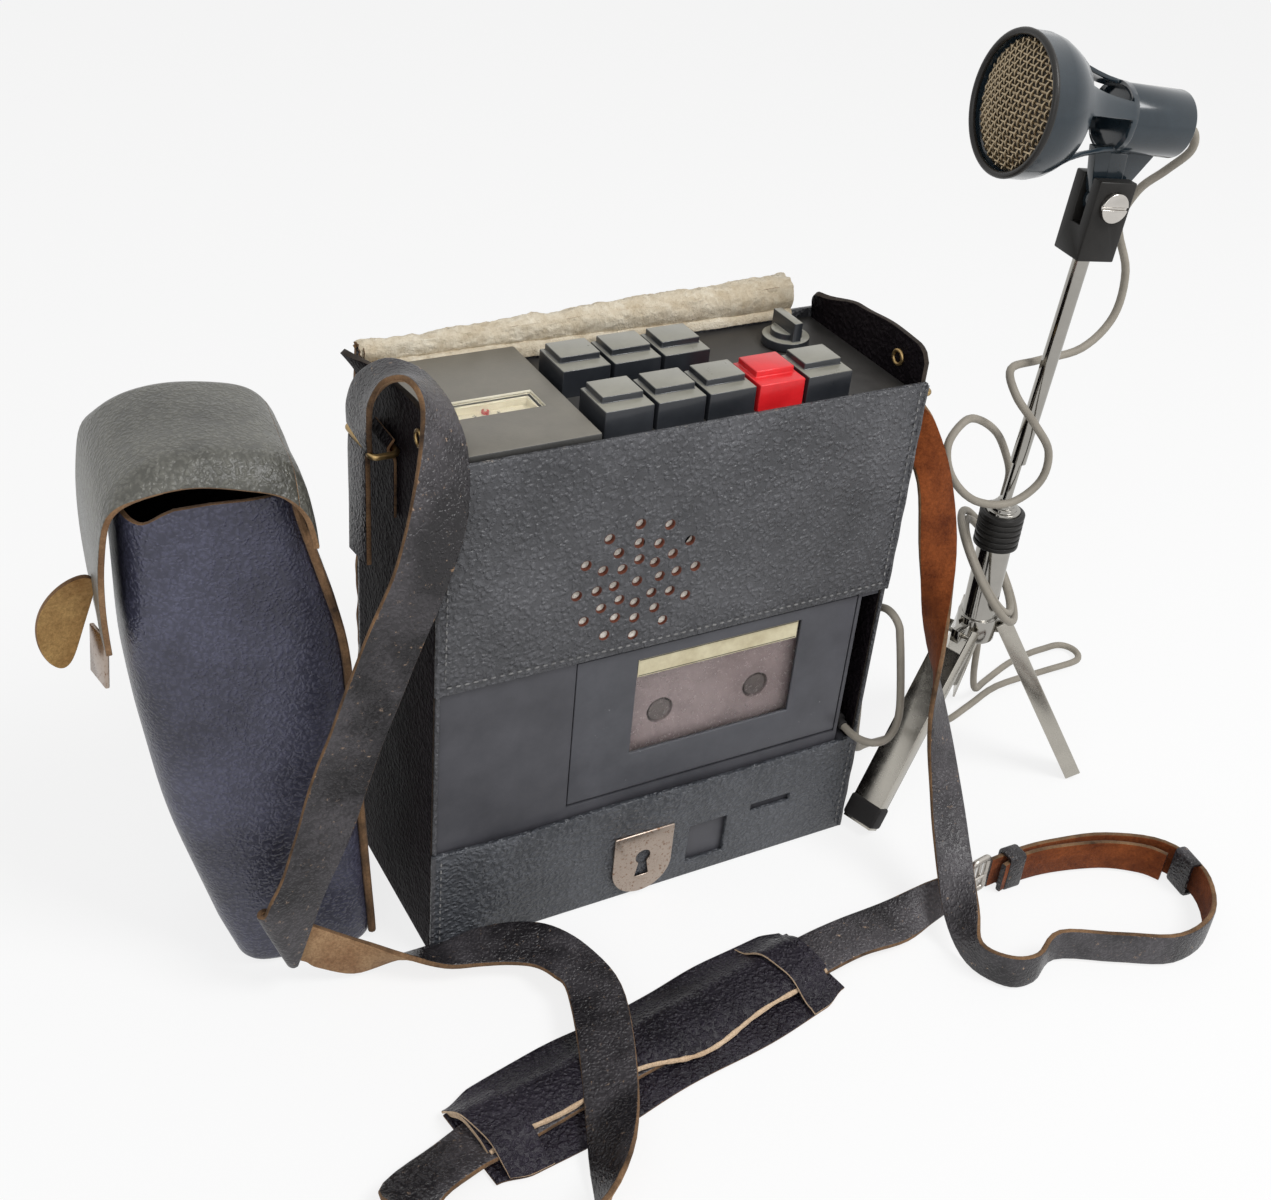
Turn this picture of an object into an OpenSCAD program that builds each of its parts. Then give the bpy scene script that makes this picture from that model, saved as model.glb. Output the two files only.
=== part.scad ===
// Portable cassette recorder in a leather case, with its pouch, strap, microphone and stand.
// The origin is the middle of the case's base. X is to the right, Y to the back and Z up.

/* [Leather case] */
// Width of the case
case_w = 188; // [170:1:210]
// Depth of the case
case_d = 75; // [70:1:85]
// Height of the front rim
case_h = 210; // [200:1:225]
// Thickness of the leather
leather_t = 2; // [1.5:0.1:2.4]
// Height of the front band
band_h = 49.5; // [44:0.5:50]
// Height at which the perforated front panel starts
panel_z = 122; // [121.5:0.5:124]
// Height of the side ears above the rim
ear_h = 13; // [8:0.5:16]
// Diameter of each speaker perforation
hole_d = 3.2; // [2:0.1:4]
// Radius of the suede roll at its right end
roll_r = 6.5; // [5:0.1:7]
// Radius of the suede roll at its left end
roll_left_r = 3.6; // [3:0.1:5]
// Height of the flap's free end above the floor
flap_end_z = 8; // [4:1:60]
// Width of the clasp plate
clasp_w = 26.5; // [20:0.5:30]
// Height of the clasp plate
clasp_h = 31; // [26:0.5:34]
// Width of the small window in the front band
port_w = 17.5; // [12:0.5:20]
// Height of the small window in the front band
port_h = 19; // [12:0.5:22]

/* [Recorder] */
// Clearance between the leather and the housing
body_gap = 0.3; // [0.2:0.1:0.6]
// Wall of the housing
wall_t = 2.4; // [1.8:0.1:3]
// Drop of the deck below the front rim
deck_drop = 5; // [3:0.5:8]
// Thickness of the deck
deck_t = 2.5; // [2:0.1:3]
// Width of the raised meter panel
meter_panel_w = 54; // [46:0.5:55]
// Height of the raised meter panel
meter_panel_h = 6.5; // [5:0.1:8]
// Width of the meter window
meter_w = 36; // [30:0.5:40]
// Depth of the meter window
meter_d = 12; // [11:0.5:16]
// Distance between neighbouring keys
key_pitch = 20; // [19:0.1:20.5]
// Width of a key
key_w = 18.5; // [16:0.1:18.6]
// Depth of a key
key_d = 19; // [16:0.1:20]
// Height of a key above the deck
key_rise = 10; // [8:0.1:12]
// Height of the pad on a key
pad_rise = 2.5; // [1.5:0.1:3.5]
// Gap round a key in the deck
key_gap = 0.4; // [0.3:0.05:0.5]
// Diameter of the volume knob
knob_d = 18; // [14:0.5:19]
// Running clearance of shafts and pins, on the radius
run_gap = 0.05; // [0.03:0.01:0.08]

/* [Cassette compartment] */
// Width of the cassette lid
lid_w = 121; // [114:0.5:122]
// Height of the cassette lid above its hinge axis
lid_h = 64.8; // [64.5:0.1:65.2]
// Thickness of the cassette lid
lid_t = 2.5; // [2.2:0.1:2.8]
// Gap round the lid
lid_gap = 0.5; // [0.4:0.05:0.7]
// Width of the opening in the lid
window_w = 71; // [60:0.5:80]
// Height of the opening in the lid
window_h = 43.5; // [30:0.5:44]
// Width of the cassette
cassette_w = 100.4; // [100:0.1:101]
// Height of the cassette
cassette_h = 63.8; // [63.5:0.1:64]
// Distance between the reel hubs
hub_pitch = 42.5; // [42:0.1:43]
// Radius of the tape on the fuller reel
full_tape_r = 22; // [16:0.5:24]
// Radius of the tape on the emptier reel
bare_tape_r = 15; // [12:0.5:17]
// Radius of the flywheel
flywheel_r = 22; // [18:0.5:24]
// Radius of the motor pulley
pulley_r = 5; // [4:0.5:7]
// Radius of the motor
motor_r = 16; // [12:0.5:18]
// Radius of the loudspeaker
speaker_r = 29; // [27:0.5:29.5]
// Radius of a battery cell
cell_r = 13; // [11:0.5:13]
// Length of a battery cell
cell_l = 50; // [44:0.5:50]

/* [Strap] */
// Width of the long strap
strap_w = 20; // [16:0.5:21]
// Width of the short strap
short_strap_w = 15; // [12:0.5:18]
// Thickness of the strap
strap_t = 2.2; // [1.6:0.1:2.4]
// Length of the shoulder pad
pad_l = 158; // [140:1:170]
// Width of the shoulder pad
pad_w = 42; // [34:1:46]
// Thickness of the shoulder pad
pad_t = 3; // [2:0.1:3.2]

/* [Pouch] */
// Depth of the pouch
pouch_d = 56; // [50:1:60]
// Wall of the pouch
pouch_t = 2.2; // [1.5:0.1:3]
// Height of the pouch's mouth
pouch_h = 200; // [170:1:204]

/* [Microphone and stand] */
// Radius of the microphone barrel
barrel_r = 12; // [10:0.5:13]
// Length of the microphone barrel
barrel_l = 27; // [24:0.5:30]
// Radius of the microphone head
head_r = 25; // [22:0.5:27]
// Radius of the stand's sliding tube
tube_r = 3.2; // [2.8:0.1:4]
// Radius of the stand's rod
rod_r = 1.95; // [1.5:0.05:2.2]
// Lean of the rod and the tube, in degrees
lean = 4.8; // [0:0.1:6]
// Height of the leg pivots
hub_z = 80; // [70:1:90]
// Distance of each foot from the stand's axis
leg_reach = 61; // [50:1:66]
// Height of the collar's lower face
collar_z = 120; // [112:1:126]
// Height of the collar
collar_h = 16; // [14:0.5:20]
// Diameter of the microphone cord
cord_d = 3.2; // [2.8:0.1:3.6]

/* [Hidden] */
$fn = 48;
slack = 0.3;

// Case planes, from the outside in
front_y = -case_d / 2;
inner_x = case_w / 2 - leather_t;
inner_y = case_d / 2 - leather_t;

// Recorder planes
body_x = inner_x - body_gap;
body_y = inner_y - body_gap;
body_z = leather_t;
face_y = -body_y;
deck_z = case_h - deck_drop;
wall_z = deck_z - deck_t;

// Raised panel and meter
meter_panel_x = -body_x + 1.5;
meter_x = meter_panel_x + meter_panel_w / 2;
meter_y = face_y + 30.7;
meter_top = deck_z + meter_panel_h;
meter_floor = deck_z + 1.5;
meter_pivot_y = meter_y + meter_d / 2 - 3.6;
window_t = 1;
meter_lip = 2;

// Keys: the two rows share their first left edge
key_x0 = meter_panel_x + meter_panel_w + 4.2;
key_front_y = face_y + 7.2;
key_back_y = key_front_y + 31.5;
key_top = deck_z + key_rise;
flange_t = 2;
flange_lip = 0.55;

// Volume knob
knob_x = body_x - 23.7;
knob_y = 17;
knob_shaft_r = 3;

// Cassette lid, beside the plug's recess, and its hinge axis
lid_margin = 9.7;
lid_x = body_x - lid_margin - lid_w / 2;
hinge_z = 55.2;
hinge_y = face_y + lid_t / 2;
hinge_pin_r = 0.8;
hinge_pin_l = 2;
lid_open_z = hinge_z - lid_t / 2 - lid_gap;
window_z = hinge_z + 38;
rebate = 2;
pane_t = 1.2;

// Cassette, with its open edge upwards
cassette_t = 8.7;
cassette_edge_t = 12;
cassette_z = hinge_z + 0.4;
cassette_top = cassette_z + cassette_h;
cassette_y = face_y + lid_t + 6.8;
hub_z0 = cassette_z + 29.5;
reel_r = 11;
reel_bore = 5;
reel_h = 4.4;
spindle_r = 4.6;

// Mechanism planes
chassis_y = cassette_y + 11.7;
chassis_t = 1.5;
chassis_top = panel_z + 14;
post_r = 3;
post_x = [lid_x - 66.5, lid_x + 56.5];
post_z = [46, 128];
capstan_x = lid_x + 24;
capstan_z = cassette_top - 6.4;
capstan_r = 1.2;
flywheel_y = chassis_y + chassis_t + 2.5;
flywheel_t = 7;
motor_x = lid_x - 39.5;
motor_z = 100;
motor_y = flywheel_y + flywheel_t + 5;
motor_l = 16;
belt_w = 2;
belt_t = 1;
belt_sides = 24;
head_travel = 4;
bridge_t = 1.5;
bridge_y = chassis_y - slack - bridge_t;
bridge_z = cassette_top + 1.2;
roller_r = 5.5;
roller_z = capstan_z + capstan_r + roller_r + head_travel + 0.6;

// Circuit board
board_y = 24;
board_t = 1.6;
board_x = body_x - wall_t - 5.3;
board_z = 42;
board_top = wall_z - 14.5;

// Loudspeaker and perforations
speaker_x = -20;
speaker_z = panel_z + speaker_r + 1.7;
ring_radii = [9, 15.7, 23.3];
ring_counts = [8, 12, 12];

// Screw bosses of the housing
boss_r = 4;
screw_r = 1.5;
screw_head_r = 2.8;
screw_head_t = 1.8;
boss_x = body_x - wall_t - boss_r - 1.3;
boss_z = [body_z + wall_t + 2 * cell_r + boss_r + 3, wall_z - boss_r - 3];

// Recess at the right of the face, where the plug sits
recess_w = 7.7;
recess_d = 13;
recess_z = [46, 119];
plug_x = body_x - recess_w / 2;
plug_z = 54;
plug_r = 3.3;
plug_l = 9;

// Flap: the roll's axis is its hinge
flap_y = case_d / 2 + roll_r - 2.1;
flap_z = case_h + roll_r - 2.7;
flap_w = 174;
flap_x = -4.5;

// Fittings: an eyelet in each ear, and a ring under each ear
eyelet_y = -20.8;
eyelet_r = 2;
eyelet_rim = 3.2;
ring_z = case_h - 10;
ring_y = [6, -16];
ring_wire = 1.2;
ring_l = 12;
ring_out = 9;
ring_x = case_w / 2 + ring_wire + ring_out;

// Clasp and openings of the front band
clasp_x = -4.8;
clasp_z = 1;
clasp_t = 1.5;
port_x = 25.2;
port_z = 17;
slot_x = 54.5;
slot_z = 26.5;
slot_w = 19;
slot_h = 4;

// Pouch, drawn as its front outline
pouch_y = -20;
pouch_right = [-108, -116];
pouch_left = [-188, -189, -181, -163, -158];
pouch_hinge_x = -133;
pouch_turn = 6.6;
pouch_pivot_x = -135;
pouch_hinge_z = pouch_h + 6;
pouch_hood = [[0, 0], [-14, 7], [-34, 9], [-50, 4], [-59, -8], [-61, -50]];

// Stand and microphone
stand_x = 159;
stand_y = -23.5;
collar_top = collar_z + collar_h;
collar_r = 9.2;
column_r = 7;
hub_r = 8.5;
leg_pivot_r = 12.5;
leg_depth = 7;
leg_sheet = 1;
leg_pin_r = 1;
leg_azimuths = [197, -25, 52];
leg_widths = [14, 10, 12];
splay = atan((leg_reach - leg_pivot_r) / hub_z);
leg_l = (hub_z - leg_depth / 2 * sin(splay)) / cos(splay);
tube_z = 22;
clip_z = 109;
tube_seat = 7;
tube_l = clip_z + tube_seat - tube_z;
slide_down = 15;
rod_top = clip_z + tube_seat - slide_down - 3;
clip_w = 16;
clip_h = 30;
clip_slot = 5.6;
pivot_up = clip_z + 21;
pivot_x = stand_x + pivot_up * sin(lean);
pivot_z = collar_top + pivot_up * cos(lean);
mic_tilt = -82.6;
mic_x = pivot_x + 24.5;
mic_z = pivot_z + 27;
clip_pin_r = 2;
// Turn of the clip and the microphone about the leaning tube
head_turn = -8.5;
arm_l = 18;
head_l = 44;

// Heights of a strap that stands on its edge, lies on the pad or crosses over it
edge_z = strap_w / 2 + 0.4;
short_edge_z = short_strap_w / 2 + 0.4;
flat_z = pad_t + strap_t / 2 + 0.3;
over_z = flat_z + strap_t + 3;
start_z = ring_z + ring_wire + 0.5;
hang_z = ring_z - ring_wire - 0.5;

// Long strap: middle line and direction of its width, from the left ring to the buckle
strap_long_points = [
    [-ring_x, ring_y[0], start_z], [-ring_x - 0.2, ring_y[0], ring_z + 6],
    [-ring_x - 0.6, ring_y[0] - 1, ring_z + 13], [-ring_x - 1, ring_y[0] - 6, ring_z + 22],
    [-ring_x - 1.8, -14, ring_z + 33], [-ring_x - 3.8, -36, ring_z + 35], [-ring_x - 6.8, -50, ring_z + 21],
    [-ring_x - 7.8, -51, ring_z], [-ring_x - 7.8, -48, ring_z - 20], [-ring_x - 10.8, -44, ring_z - 45],
    [-122, -40, 123], [-128, -37, 98],
    [-134, -36, 74], [-143, -36, 50],
    [-150, -35, 30], [-147, -36, edge_z + 3], [-134, -38, edge_z + 1], [-118, -40, edge_z],
    [-100, -44, edge_z],
    [-84, -48, edge_z], [-68, -47, edge_z], [-54, -59, edge_z], [-50, -86, over_z + 1],
    [-60, -116, over_z + 1],
    [-76, -150, edge_z], [-94, -174, edge_z], [-122, -177, edge_z], [-143, -157, edge_z],
    [-139, -136, edge_z],
    [-122, -127, flat_z + 6.5], [-100, -122.5, flat_z + 1.5], [-78, -118.5, flat_z + 0.3],
    [-40, -112.5, flat_z], [0, -106, flat_z],
    [34, -100.5, flat_z], [56, -98, flat_z], [78, -98, flat_z], [97, -97, short_edge_z],
    [115.7, -95.1, short_edge_z]];
strap_long_sides = [
    [0, 1, 0], [0, 1, 0], [0.1, 0.9, 0], [0.4, 0.9, 0], [1, 0.3, 0], [1, 0, 0], [1, 0, 0],
    [1, 0, 0], [1, 0, 0], [1, -0.1, 0], [1, -0.1, 0], [1, -0.1, 0.1], [1, -0.1, 0.2], [1, -0.1, 0.4],
    [0.7, 0, 0.7], [0.1, 0.1, 1], [0, 0.1, 1], [0, 0.1, 1], [0, 0.1, 1],
    [0, 0.1, 1], [0.2, 0.5, 0.9], [0.8, 0.4, 0.5], [1, 0, 0.1], [1, -0.3, 0.1],
    [0.7, -0.3, 0.7], [0, 0, 1], [0, 0, 1], [0, 0, 1], [0, 0.3, 0.9],
    [0, 1, 0.3], [-0.1, 1, 0.1], [-0.15, 1, 0], [-0.15, 1, 0], [-0.15, 1, 0],
    [-0.15, 1, 0], [0, 1, 0], [0, 1, 0.1], [0, 0.7, 0.7], [0, 0.15, 1]];
strap_long_widths = [for (i = [1:len(strap_long_points)])
    i > len(strap_long_points) - 2 ? short_strap_w : strap_w];

// Short strap: from the right ring down to the floor and round to the buckle
strap_short_points = [
    [ring_x, ring_y[1], hang_z], [ring_x + 0.2, ring_y[1], ring_z - 6],
    [ring_x + 0.6, ring_y[1] - 1, ring_z - 11], [ring_x + 1.8, ring_y[1] - 6, ring_z - 18],
    [ring_x + 4.8, ring_y[1] - 18, ring_z - 34], [ring_x + 4.8, -45, ring_z - 62],
    [108, -54, 108], [110, -63, 74],
    [110, -77, 46], [105, -94, 28], [98, -113, 15], [95, -127, short_edge_z], [101, -140, short_edge_z],
    [112, -143, short_edge_z], [128, -137, short_edge_z], [150, -148, short_edge_z],
    [172, -158, short_edge_z],
    [194, -153, short_edge_z], [208, -134, short_edge_z], [205, -114, short_edge_z],
    [185, -100, short_edge_z],
    [160, -94, short_edge_z], [142, -92.5, short_edge_z], [128.6, -92.9, short_edge_z]];
strap_short_sides = [
    [0, 1, 0], [0, 1, 0], [0.2, 0.9, 0], [0.7, 0.6, 0.2], [1, 0, 0.1], [1, 0, 0], [0.6, 0.8, 0],
    [0.75, 0.5, 0],
    [1, 0.1, 0.1], [0.9, 0.1, 0.3], [0.6, 0.1, 0.8], [0, 0, 1], [0, 0, 1],
    [0, 0, 1], [0, 0, 1], [0, 0, 1], [0, 0, 1],
    [0, 0, 1], [0, 0, 1], [0, 0, 1], [0, 0, 1],
    [0, 0, 1], [0, 0, 1], [0, 0, 1]];
strap_short_widths = [for (i = [1:len(strap_short_points)]) short_strap_w];

// Shoulder pad under the long strap
pad_at = [-38, -112];
pad_turn = 9;

// Buckle between the two straps
buckle_at = [122.2, -94];
buckle_turn = 9;
buckle_l = 12;
buckle_h = short_strap_w + 4;
buckle_wire = 1.5;

// Upper cord, from the microphone's tail round the tube to the back of the collar
cord_upper_points = [
    head_point([mic_x + 4.4, stand_y, mic_z - 0.6]), head_point([205, -22.5, 288.5]), head_point([207.5, -20, 281]),
    [204, -19.5, 272], [198, -14.3, 263], [195, -12, 249], [203, -14, 230], [203, -14, 211], [190, -14, 199], [168, -14, 197],
    [149, -20, 199], [145, -30, 193], [153, -35, 182], [164, -35, 168], [163, -35.5, 155], [150, -35, 147.5],
    [133, -33, 151], [120.5, -31, 163], [117.5, -28.5, 176], [127, -25, 183], [141, -19, 177.5],
    [156.5, -13.5, 166], [167, -11, 152], [171.3, -10, 143], [172.3, -9, 134]];
cord_upper = smooth(cord_upper_points, 2);

// Lower cord: loops that hang round the column, then along the floor to the recorder
loop_z = 108;
loop_count = 2;
loop_r = 19;
loop_grow = 3.9;
loop_steps = 24;
loop_a = unit([0.6, 0.8, 0]);
loop_b = unit([-0.48, 0.36, 0.8]);
cord_loops = [for (k = [0:loop_steps * loop_count])
    let (turn = k / loop_steps, a = -360 * turn)
    [stand_x, stand_y, loop_z] + (loop_r + loop_grow * turn) * (cos(a) * loop_a + sin(a) * loop_b)];
cord_floor_points = [
    [180, -4, 92], [184, 1, 70], [190, 3, 46], [197, 7.5, 22], [206, 13, 5.5], [219, 20.5, 2], [240, 28, 2],
    [270, 31, 2], [280, 24, 2], [271, 17, 2], [250, 16, 2], [222, 15, 2], [200, 8, 2], [180, 2, 2],
    [158, 2, 2], [136, 2, 2.5], [120, -8, 14], [110, -16, 45], [101, -22, 80], [98, -28, 104],
    [99.5, -35, 110],
    [101.5, -41, 98], [103.5, -45, 80], [103, -48, 64], [97, -48, 54], [89, -42, 53.4],
    [plug_x, face_y + recess_d - plug_l - 3.7, plug_z]];
upper_end = cord_upper_points[len(cord_upper_points) - 1];
upper_dir = unit(upper_end - cord_upper[len(cord_upper) - 2]);
lead_in = smooth([upper_end + 0.3 * upper_dir, upper_end + 4 * upper_dir,
    (upper_end + cord_loops[0]) / 2 + [2.5, -0.5, 0], cord_loops[0]], 2);
lead_out = smooth(concat([cord_loops[len(cord_loops) - 1]], cord_floor_points), 2);
cord_lower = concat([for (k = [0:len(lead_in) - 2]) lead_in[k]], cord_loops,
    [for (k = [1:len(lead_out) - 1]) lead_out[k]]);

// Unit vector, smooth curve and swept solids
function unit(v) = v / norm(v);
function curve(a, b, c, d, t) =
    0.5 * (2 * b + (c - a) * t + (2 * a - 5 * b + 4 * c - d) * t * t + (3 * b - a - 3 * c + d) * t * t * t);
function smooth(p, n) = concat(
    [for (i = [0:len(p) - 2]) for (j = [0:n - 1])
        curve(p[max(i - 1, 0)], p[i], p[i + 1], p[min(i + 2, len(p) - 1)], j / n)],
    [p[len(p) - 1]]);
function tangents(p) =
    [for (i = [0:len(p) - 1]) unit(p[min(i + 1, len(p) - 1)] - p[max(i - 1, 0)])];
function across(v, t) = unit(v - t * (v * t));

// Triangles of a tube of rings, with a fan at each end
function ring_faces(rings, sides) = concat(
    [for (i = [0:rings - 2]) for (j = [0:sides - 1])
        [i * sides + j, i * sides + (j + 1) % sides, (i + 1) * sides + (j + 1) % sides]],
    [for (i = [0:rings - 2]) for (j = [0:sides - 1])
        [i * sides + j, (i + 1) * sides + (j + 1) % sides, (i + 1) * sides + j]],
    [for (j = [1:sides - 2]) [0, j + 1, j]],
    [for (j = [1:sides - 2]) [(rings - 1) * sides, (rings - 1) * sides + j, (rings - 1) * sides + j + 1]]);

// Flat band along a middle line, with its width and the direction of its width at each point
module band(points, sides, widths, thick, steps) {
    line = smooth(points, steps);
    wide = smooth(sides, steps);
    half = smooth(widths, steps) / 2;
    along = tangents(line);
    corners = [for (i = [0:len(line) - 1])
        let (s = across(wide[i], along[i]), n = cross(along[i], s))
        for (c = [[-1, -1], [-1, 1], [1, 1], [1, -1]])
            line[i] + s * c[0] * half[i] + n * c[1] * thick / 2];
    polyhedron(corners, ring_faces(len(line), 4));
}

// Round tube along a middle line
module tube(line, r, sides) {
    along = tangents(line);
    ups = [for (i = 0, u = across([0.3, 1, 0.2], along[0]); i < len(line);
        i = i + 1, u = i < len(line) ? across(u, along[i]) : u) u];
    points = [for (i = [0:len(line) - 1]) for (j = [0:sides - 1])
        let (a = -360 * j / sides)
        line[i] + r * (cos(a) * ups[i] + sin(a) * cross(along[i], ups[i]))];
    polyhedron(points, ring_faces(len(line), sides));
}

// Box from its lower corner to its upper corner
module block(a, b) {
    translate(a)
        cube(b - a);
}

// Cylinder along Y, from its front end to its back end
module rod_y(x, z, r, y0, y1) {
    translate([x, y0, z])
        rotate([-90, 0, 0])
            cylinder(r = r, h = y1 - y0);
}

// Cylinder along X, from its left end to its right end
module rod_x(y, z, r, x0, x1) {
    translate([x0, y, z])
        rotate([0, 90, 0])
            cylinder(r = r, h = x1 - x0);
}

// Plain upright cylinder
module rod_z(x, y, r, z0, z1) {
    translate([x, y, z0])
        cylinder(r = r, h = z1 - z0);
}

// Outline in the XZ plane, given depth along Y
module plate_xz(y0, y1) {
    translate([0, y1, 0])
        rotate([90, 0, 0])
            linear_extrude(y1 - y0)
                children();
}

// Four screw bosses of one half of the housing
module bosses(r, y0, y1) {
    for (x = [-boss_x, boss_x])
        for (z = boss_z)
            rod_y(x, z, r, y0, y1);
}

// Half of the housing as an open tray
module housing_half(y0, y1, in0, in1) {
    difference() {
        block([-body_x, y0, body_z], [body_x, y1, wall_z]);
        block([-body_x + wall_t, in0, body_z + wall_t], [body_x - wall_t, in1, wall_z + 1]);
    }
}

// Front housing with the lid's opening, the speaker's opening and the plug's recess
module front_housing() {
    recess_x = body_x - recess_w;
    color("#1b1b1d")
        difference() {
            union() {
                housing_half(face_y, 0, face_y + wall_t, 1);
                bosses(boss_r, face_y + wall_t, 0);
                for (x = post_x)
                    for (z = post_z)
                        rod_y(x, z, post_r, face_y + wall_t, chassis_y);
                for (s = [-1, 1])
                    translate([lid_x + s * (lid_w / 2 + lid_gap + 2), hinge_y + 1, hinge_z])
                        cube([4, 4, 5], center = true);
                block([recess_x - wall_t, face_y, recess_z[0] - wall_t],
                    [body_x, face_y + recess_d + wall_t, recess_z[1] + wall_t]);
            }
            block([lid_x - lid_w / 2 - lid_gap, face_y - 1, lid_open_z],
                [lid_x + lid_w / 2 + lid_gap, face_y + wall_t + 1, hinge_z + lid_h + lid_gap]);
            rod_x(hinge_y, hinge_z, hinge_pin_r + run_gap, lid_x - lid_w / 2 - hinge_pin_l - slack,
                lid_x + lid_w / 2 + hinge_pin_l + slack);
            rod_y(speaker_x, speaker_z, speaker_r - 2, face_y - 1, face_y + wall_t + 1);
            bosses(screw_r + run_gap, face_y + wall_t + 3, 1);
            block([recess_x, face_y - 1, recess_z[0]], [body_x + 1, face_y + recess_d, recess_z[1]]);
        }
}

// Rear housing with the board's pillars
module rear_housing() {
    color("#1b1b1d")
        difference() {
            union() {
                housing_half(0, body_y, -1, body_y - wall_t);
                bosses(boss_r, 0, body_y - wall_t);
                for (s = [-1, 1])
                    for (z = [board_z + 8, board_top - 8])
                        rod_y(s * (board_x - 14), z, post_r, board_y + board_t, body_y - wall_t);
            }
            bosses(screw_r + run_gap, -1, body_y + 1);
            bosses(screw_head_r + run_gap, body_y - screw_head_t - slack, body_y + 1);
        }
}

// Screws that hold the two halves together
module housing_screws() {
    color("#9a9a98") {
        bosses(screw_r, face_y + 12, body_y - slack - screw_head_t);
        bosses(screw_head_r, body_y - slack - screw_head_t, body_y - slack);
    }
}

// Deck with one slot for each key
module top_deck() {
    color("#252527")
        difference() {
            block([-body_x, -body_y, wall_z], [body_x, body_y, deck_z]);
            for (k = [0:4])
                key_slot(k, key_front_y);
            for (k = [0:2])
                key_slot(k, key_back_y);
            rod_z(knob_x, knob_y, knob_shaft_r + run_gap, wall_z - 1, deck_z + 1);
        }
}

module key_slot(k, y) {
    x = key_x0 + k * key_pitch;
    block([x - key_gap, y - key_gap, wall_z - 1], [x + key_w + key_gap, y + key_d + key_gap, deck_z + 1]);
}

// One piano key: a block through the deck, a flange under it and a stepped pad on top
module key(k, y, tint) {
    x = key_x0 + k * key_pitch;
    ledge = key_d * 0.3;
    color(tint)
        translate([x, y, 0]) {
            block([0, 0, wall_z - slack - flange_t], [key_w, key_d, key_top]);
            block([-flange_lip, -1, wall_z - slack - flange_t],
                [key_w + flange_lip, key_d + 1, wall_z - slack]);
            block([1.5, ledge, key_top - 1], [key_w - 1.5, key_d - 1, key_top + pad_rise]);
            block([key_w / 2 - 2, key_d / 2 - 4, wall_z - 14], [key_w / 2 + 2, key_d / 2 + 4, wall_z - 1]);
        }
}

module key_rewind() { key(0, key_front_y, "#1d1f22"); }
module key_stop() { key(1, key_front_y, "#1d1f22"); }
module key_play() { key(2, key_front_y, "#1d1f22"); }
module key_record() { key(3, key_front_y, "#d0161b"); }
module key_forward() { key(4, key_front_y, "#1d1f22"); }
module key_eject() { key(0, key_back_y, "#1d1f22"); }
module key_pause() { key(1, key_back_y, "#1d1f22"); }
module key_battery() { key(2, key_back_y, "#1d1f22"); }

// Raised panel with the well of the level meter
module meter_panel() {
    color("#2e2e2f")
        difference() {
            union() {
                difference() {
                    block([meter_panel_x, -body_y + 0.7, deck_z],
                        [meter_panel_x + meter_panel_w, body_y - 0.7, meter_top]);
                    block([meter_x - meter_w / 2 + meter_lip, meter_y - meter_d / 2 + meter_lip, meter_floor],
                        [meter_x + meter_w / 2 - meter_lip, meter_y + meter_d / 2 - meter_lip, meter_top + 1]);
                }
                rod_z(meter_x, meter_pivot_y, 0.5, meter_floor - 0.5, meter_floor + 2);
            }
            block([meter_x - meter_w / 2, meter_y - meter_d / 2, meter_top - window_t - 0.8],
                [meter_x + meter_w / 2, meter_y + meter_d / 2, meter_top + 1]);
        }
}

module meter_window() {
    edge = 0.1;
    color("#e8dfc0", 0.5)
        block([meter_x - meter_w / 2 + edge, meter_y - meter_d / 2 + edge, meter_top - window_t - 0.8],
            [meter_x + meter_w / 2 - edge, meter_y + meter_d / 2 - edge, meter_top - 0.8]);
}

// Needle of the meter, on its pivot
module meter_needle() {
    length = meter_d / 2 - 1.5;
    color("#b02018")
        difference() {
            union() {
                rod_z(meter_x, meter_pivot_y, 1.3, meter_floor + slack, meter_floor + slack + 1);
                block([meter_x - 0.3, meter_pivot_y - length, meter_floor + slack],
                    [meter_x + 0.3, meter_pivot_y, meter_floor + slack + 0.6]);
            }
            rod_z(meter_x, meter_pivot_y, 0.5 + run_gap, meter_floor - 1, meter_floor + 4);
        }
}

// Volume knob: a disc, a wing pointer and the shaft through the deck
module volume_knob() {
    base = deck_z + slack;
    color("#2a2a2c") {
        rod_z(knob_x, knob_y, knob_d / 2, base, base + 3.5);
        rod_z(knob_x, knob_y, knob_d / 2 - 3, base + 3, base + 6);
        block([knob_x - 1.8, knob_y - knob_d / 2 + 1.5, base + 3],
            [knob_x + 1.8, knob_y + knob_d / 2 - 1.5, base + 11]);
        rod_z(knob_x, knob_y, knob_shaft_r, wall_z - 9, base + 1);
    }
}

// Cassette lid, rounded along its hinge axis, with its pins
module cassette_lid() {
    left = lid_x - lid_w / 2;
    right = lid_x + lid_w / 2;
    win = [window_w / 2, window_h / 2];
    color("#19191b")
        difference() {
            union() {
                block([left, face_y, hinge_z], [right, face_y + lid_t, hinge_z + lid_h]);
                rod_x(hinge_y, hinge_z, lid_t / 2, left, right);
                rod_x(hinge_y, hinge_z, hinge_pin_r, left - hinge_pin_l, right + hinge_pin_l);
            }
            block([lid_x - win[0], face_y - 1, window_z - win[1]],
                [lid_x + win[0], face_y + lid_t + 1, window_z + win[1]]);
            block([lid_x - win[0] - rebate, face_y + lid_t - pane_t, window_z - win[1] - rebate],
                [lid_x + win[0] + rebate, face_y + lid_t + 1, window_z + win[1] + rebate]);
        }
}

module lid_window() {
    edge = rebate - 0.1;
    win = [window_w / 2 + edge, window_h / 2 + edge];
    color("#6d6a66", 0.4)
        block([lid_x - win[0], face_y + lid_t - pane_t, window_z - win[1]],
            [lid_x + win[0], face_y + lid_t, window_z + win[1]]);
}

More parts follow.
